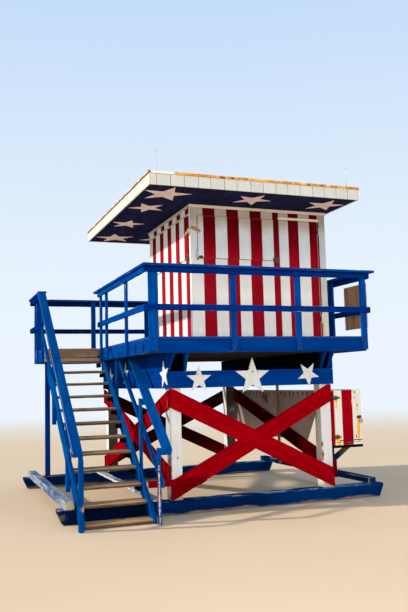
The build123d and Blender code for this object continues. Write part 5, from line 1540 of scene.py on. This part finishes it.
def button(c0, c1, plane, f0, f1, w, mat=0):
    """A bar between two (horizontal, z) points on a wall plane, between depths f0 and f1."""
    a, b = Vector(c0), Vector(c1)
    d = (b - a).normalized()
    n = Vector((-d.y, d.x)) * w / 2
    q = [a - n, b - n, b + n, a + n]
    if plane == "x":
        pts = [L(v.x, f0, v.y) for v in q]
        P.add(prism_bm(pts, Vector((0, f1 - f0, 0))), bev=0.003, seg=0.03, wob=0.0008, chip=0.001, mat=mat)
    else:
        pts = [L(f0, v.x, v.y) for v in q]
        P.add(prism_bm(pts, Vector((f1 - f0, 0, 0))), bev=0.003, seg=0.03, wob=0.0008, chip=0.001, mat=mat)


button((0.972, 4.284), (1.116, 4.216), "x", CY0 - SK - 0.019, CY0 - SK - 0.0005, 0.046)
button((0.980, 4.280), (1.062, 4.243), "x", CY0 - SK - 0.0002, CY0 - 0.0005, 0.038)
button((0.886, 4.246), (1.045, 4.193), "y", CX0 - SK - 0.019, CX0 - SK - 0.0005, 0.044, 1)
button((0.893, 4.243), (0.965, 4.219), "y", CX0 - SK - 0.0002, CX0 - 0.0005, 0.038, 1)
P.end([BROWNW, PALEW], "tower", "bare_wood")

# bolts, screws and nails
P = Piece("fastenings", 77)
for x0, x1 in ((-0.010, 0.130), (1.222, 1.311), (2.270, 2.362), (3.402, 3.504)):
    for z, dx in ((2.345, 0.30), (2.432, 0.70)):
        P.dome((x0 + (x1 - x0) * dx, -0.038, z), (0, -1, 0), 0.0105, 0.004)
for y0 in (1.103, 2.426, 2.856):
    for z, dy in ((2.345, 0.3), (2.432, 0.7)):
        P.dome((-0.038, y0 + 0.089 * dy, z), (-1, 0, 0), 0.0105, 0.004)
for x0, x1 in ((-0.010, 0.130), (1.222, 1.311), (2.270, 2.362), (3.402, 3.504)):
    for z in (2.898, 2.934, 3.424, 3.468):
        P.dome((x0 + (x1 - x0) * 0.5, -0.076, z), (0, -1, 0), 0.005, 0.0015)
for y0 in (1.103, 2.426, 2.856):
    for z in (2.898, 2.934, 3.424, 3.468):
        P.dome((-0.076, y0 + 0.045, z), (-1, 0, 0), 0.005, 0.0015)
for x, z in ((0.47, 1.62), (0.53, 1.545), (2.95, 0.45), (3.02, 0.36), (0.45, 0.43), (0.52, 0.50), (2.94, 1.55), (3.0, 1.62), (1.70, 1.05), (1.76, 0.97)):
    P.dome((x, 0.382, z), (0, -1, 0), 0.010, 0.0045)
for x in (0.44, 0.55, 2.91, 3.02):
    for z in (1.84, 1.98):
        P.dome((x, 0.375, z), (0, -1, 0), 0.010, 0.0045)
for y in (0.45, 0.56, 4.27, 4.39):
    for z in (1.84, 1.98):
        P.dome((0.360, y, z), (-1, 0, 0), 0.010, 0.0045)
        P.dome((3.104, y, z), (1, 0, 0), 0.010, 0.0045)
for i in range(12):
    y0, z1 = 0.281 * i, 0.062 + 0.2053 * i
    if i == 11:
        y0, z1 = 3.070, 2.281
    for xx in (-0.885, 0.0):
        for dy in (0.035, 0.105, 0.178, 0.246):
            P.dome((xx, y0 + dy, z1 - 0.0035), (0, 0, 1), 0.0052, 0.0022)
for i in range(11):
    yy = 0.098 + i * (4.450 - 0.076 - 0.120 - 0.038) / 10 + 0.019
    for a, b in xs:
        if not (CX0 < a and b < CX1 and CY0 < yy < CY1):
            for k in (0.25, 0.75):
                P.dome((a + (b - a) * k, yy, 2.5120), (0, 0, 1), 0.0045, 0.0014, sides=6)
P.end(BOLT, "tower", "rusty_steel")

# ============================================================ stage
def floor():
    m = Mat("floor_plain")
    o = m.obj()
    a = m.noise(o, (0.35, 0.35, 0.35), 3, 0.5)
    b = m.noise(o, (9, 9, 9), 3, 0.6)
    col = m.mix(m.ramp(a, 0.3, 0.7), (0.73, 0.52, 0.33, 1), (0.70, 0.495, 0.31, 1))
    mat = m.done(col, m.math("MULTIPLY_ADD", b, 0.1, 0.85), b, 0.003, 0.25, spec=0.1)
    x, y, z = m.sep(o)
    r = m.math("SQRT", m.math("ADD", m.math("MULTIPLY", x, x), m.math("MULTIPLY", y, y)))
    tr = m.t.nodes.new("ShaderNodeBsdfTransparent")
    ms = m.t.nodes.new("ShaderNodeMixShader")
    m.t.links.new(m.ramp(r, 9.0, 34.0), ms.inputs[0])
    m.t.links.new(m.b.outputs[0], ms.inputs[1])
    m.t.links.new(tr.outputs[0], ms.inputs[2])
    m.t.links.new(ms.outputs[0], m.out.inputs[0])
    me = bpy.data.meshes.new("floor")
    s = 35.0
    n = 96
    me.from_pydata([(s * math.cos(2 * math.pi * i / n), s * math.sin(2 * math.pi * i / n), -0.001) for i in range(n)], [], [tuple(range(n))])
    me.materials.append(mat)
    o = bpy.data.objects.new("floor", me)
    bpy.context.scene.collection.objects.link(o)
    o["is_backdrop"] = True


floor()

w = bpy.data.worlds.new("studio")
bpy.context.scene.world = w
w.use_nodes = True
nt = w.node_tree
bg = nt.nodes["Background"]
tc = nt.nodes.new("ShaderNodeTexCoord")
sp = nt.nodes.new("ShaderNodeSeparateXYZ")
mr = nt.nodes.new("ShaderNodeMapRange")
mr.interpolation_type = "SMOOTHSTEP"
mr.inputs[1].default_value = 0.0
mr.inputs[2].default_value = 0.75
mx = nt.nodes.new("ShaderNodeMix")
mx.data_type = "RGBA"
nt.links.new(tc.outputs["Generated"], sp.inputs[0])
nt.links.new(sp.outputs[2], mr.inputs[0])
nt.links.new(mr.outputs[0], mx.inputs[0])
mx.inputs[6].default_value = (0.80, 0.87, 0.94, 1)
mx.inputs[7].default_value = (0.42, 0.62, 0.90, 1)
nt.links.new(mx.outputs[2], bg.inputs[0])
bg.inputs[1].default_value = 1.05

sun = bpy.data.lights.new("key", "SUN")
sun.energy = 3.8
sun.angle = math.radians(2.5)
sun.color = (1.0, 0.955, 0.88)
so = bpy.data.objects.new("key", sun)
bpy.context.scene.collection.objects.link(so)
az = math.radians(14.0)          # towards the far side, off straight left
el = math.radians(27.0)
to_sun = Vector((-math.cos(el) * math.cos(az), math.cos(el) * math.sin(az), math.sin(el)))
so.rotation_mode = "QUATERNION"
so.rotation_quaternion = to_sun.to_track_quat("Z", "Y")

# a wide soft source low in front, on the camera's side
fill = bpy.data.lights.new("fill", "AREA")
fill.shape = "RECTANGLE"
fill.size, fill.size_y = 16.0, 7.0
fill.energy = 1300.0
fill.color = (1.0, 0.965, 0.91)
fo = bpy.data.objects.new("fill", fill)
bpy.context.scene.collection.objects.link(fo)
fo.location = (-1.2, -15.5, 2.2)
fo.rotation_mode = "QUATERNION"
fo.rotation_quaternion = (Vector(fo.location) - Vector((0.0, 0.0, 2.6))).to_track_quat("Z", "Y")
fo.visible_camera = False

# ============================================================ camera
cam = bpy.data.cameras.new("camera")
cam.sensor_fit = "VERTICAL"
cam.sensor_height = 36.0
cam.lens = 712.1065 / 612.0 * 36.0
cam.clip_end = 1000.0
co = bpy.data.objects.new("camera", cam)
bpy.context.scene.collection.objects.link(co)
yaw, pitch, roll = 0.364708, 0.105959, -0.025760
h = Vector((math.sin(yaw), math.cos(yaw), 0))
up0 = Vector((0, 0, 1))
fwd = h * math.cos(pitch) + up0 * math.sin(pitch)
upv = up0 * math.cos(pitch) - h * math.sin(pitch)
rt = Vector((math.cos(yaw), -math.sin(yaw), 0))
cx = rt * math.cos(roll) + upv * math.sin(roll)
cy = upv * math.cos(roll) - rt * math.sin(roll)
m3 = Matrix((cx, cy, -fwd)).transposed()
co.matrix_world = Matrix.Translation(Vector((-4.16430, -11.60983, 1.87276))) @ m3.to_4x4()
bpy.context.scene.camera = co

vs = bpy.context.scene.view_settings
vs.view_transform = "Standard"
vs.look = "None"
vs.exposure = 0.0
vs.gamma = 1.0

tot = 0
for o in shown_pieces():
    if o.type == "MESH":
        o.data.calc_loop_triangles()
        tot += len(o.data.loop_triangles)
print("triangles", tot)
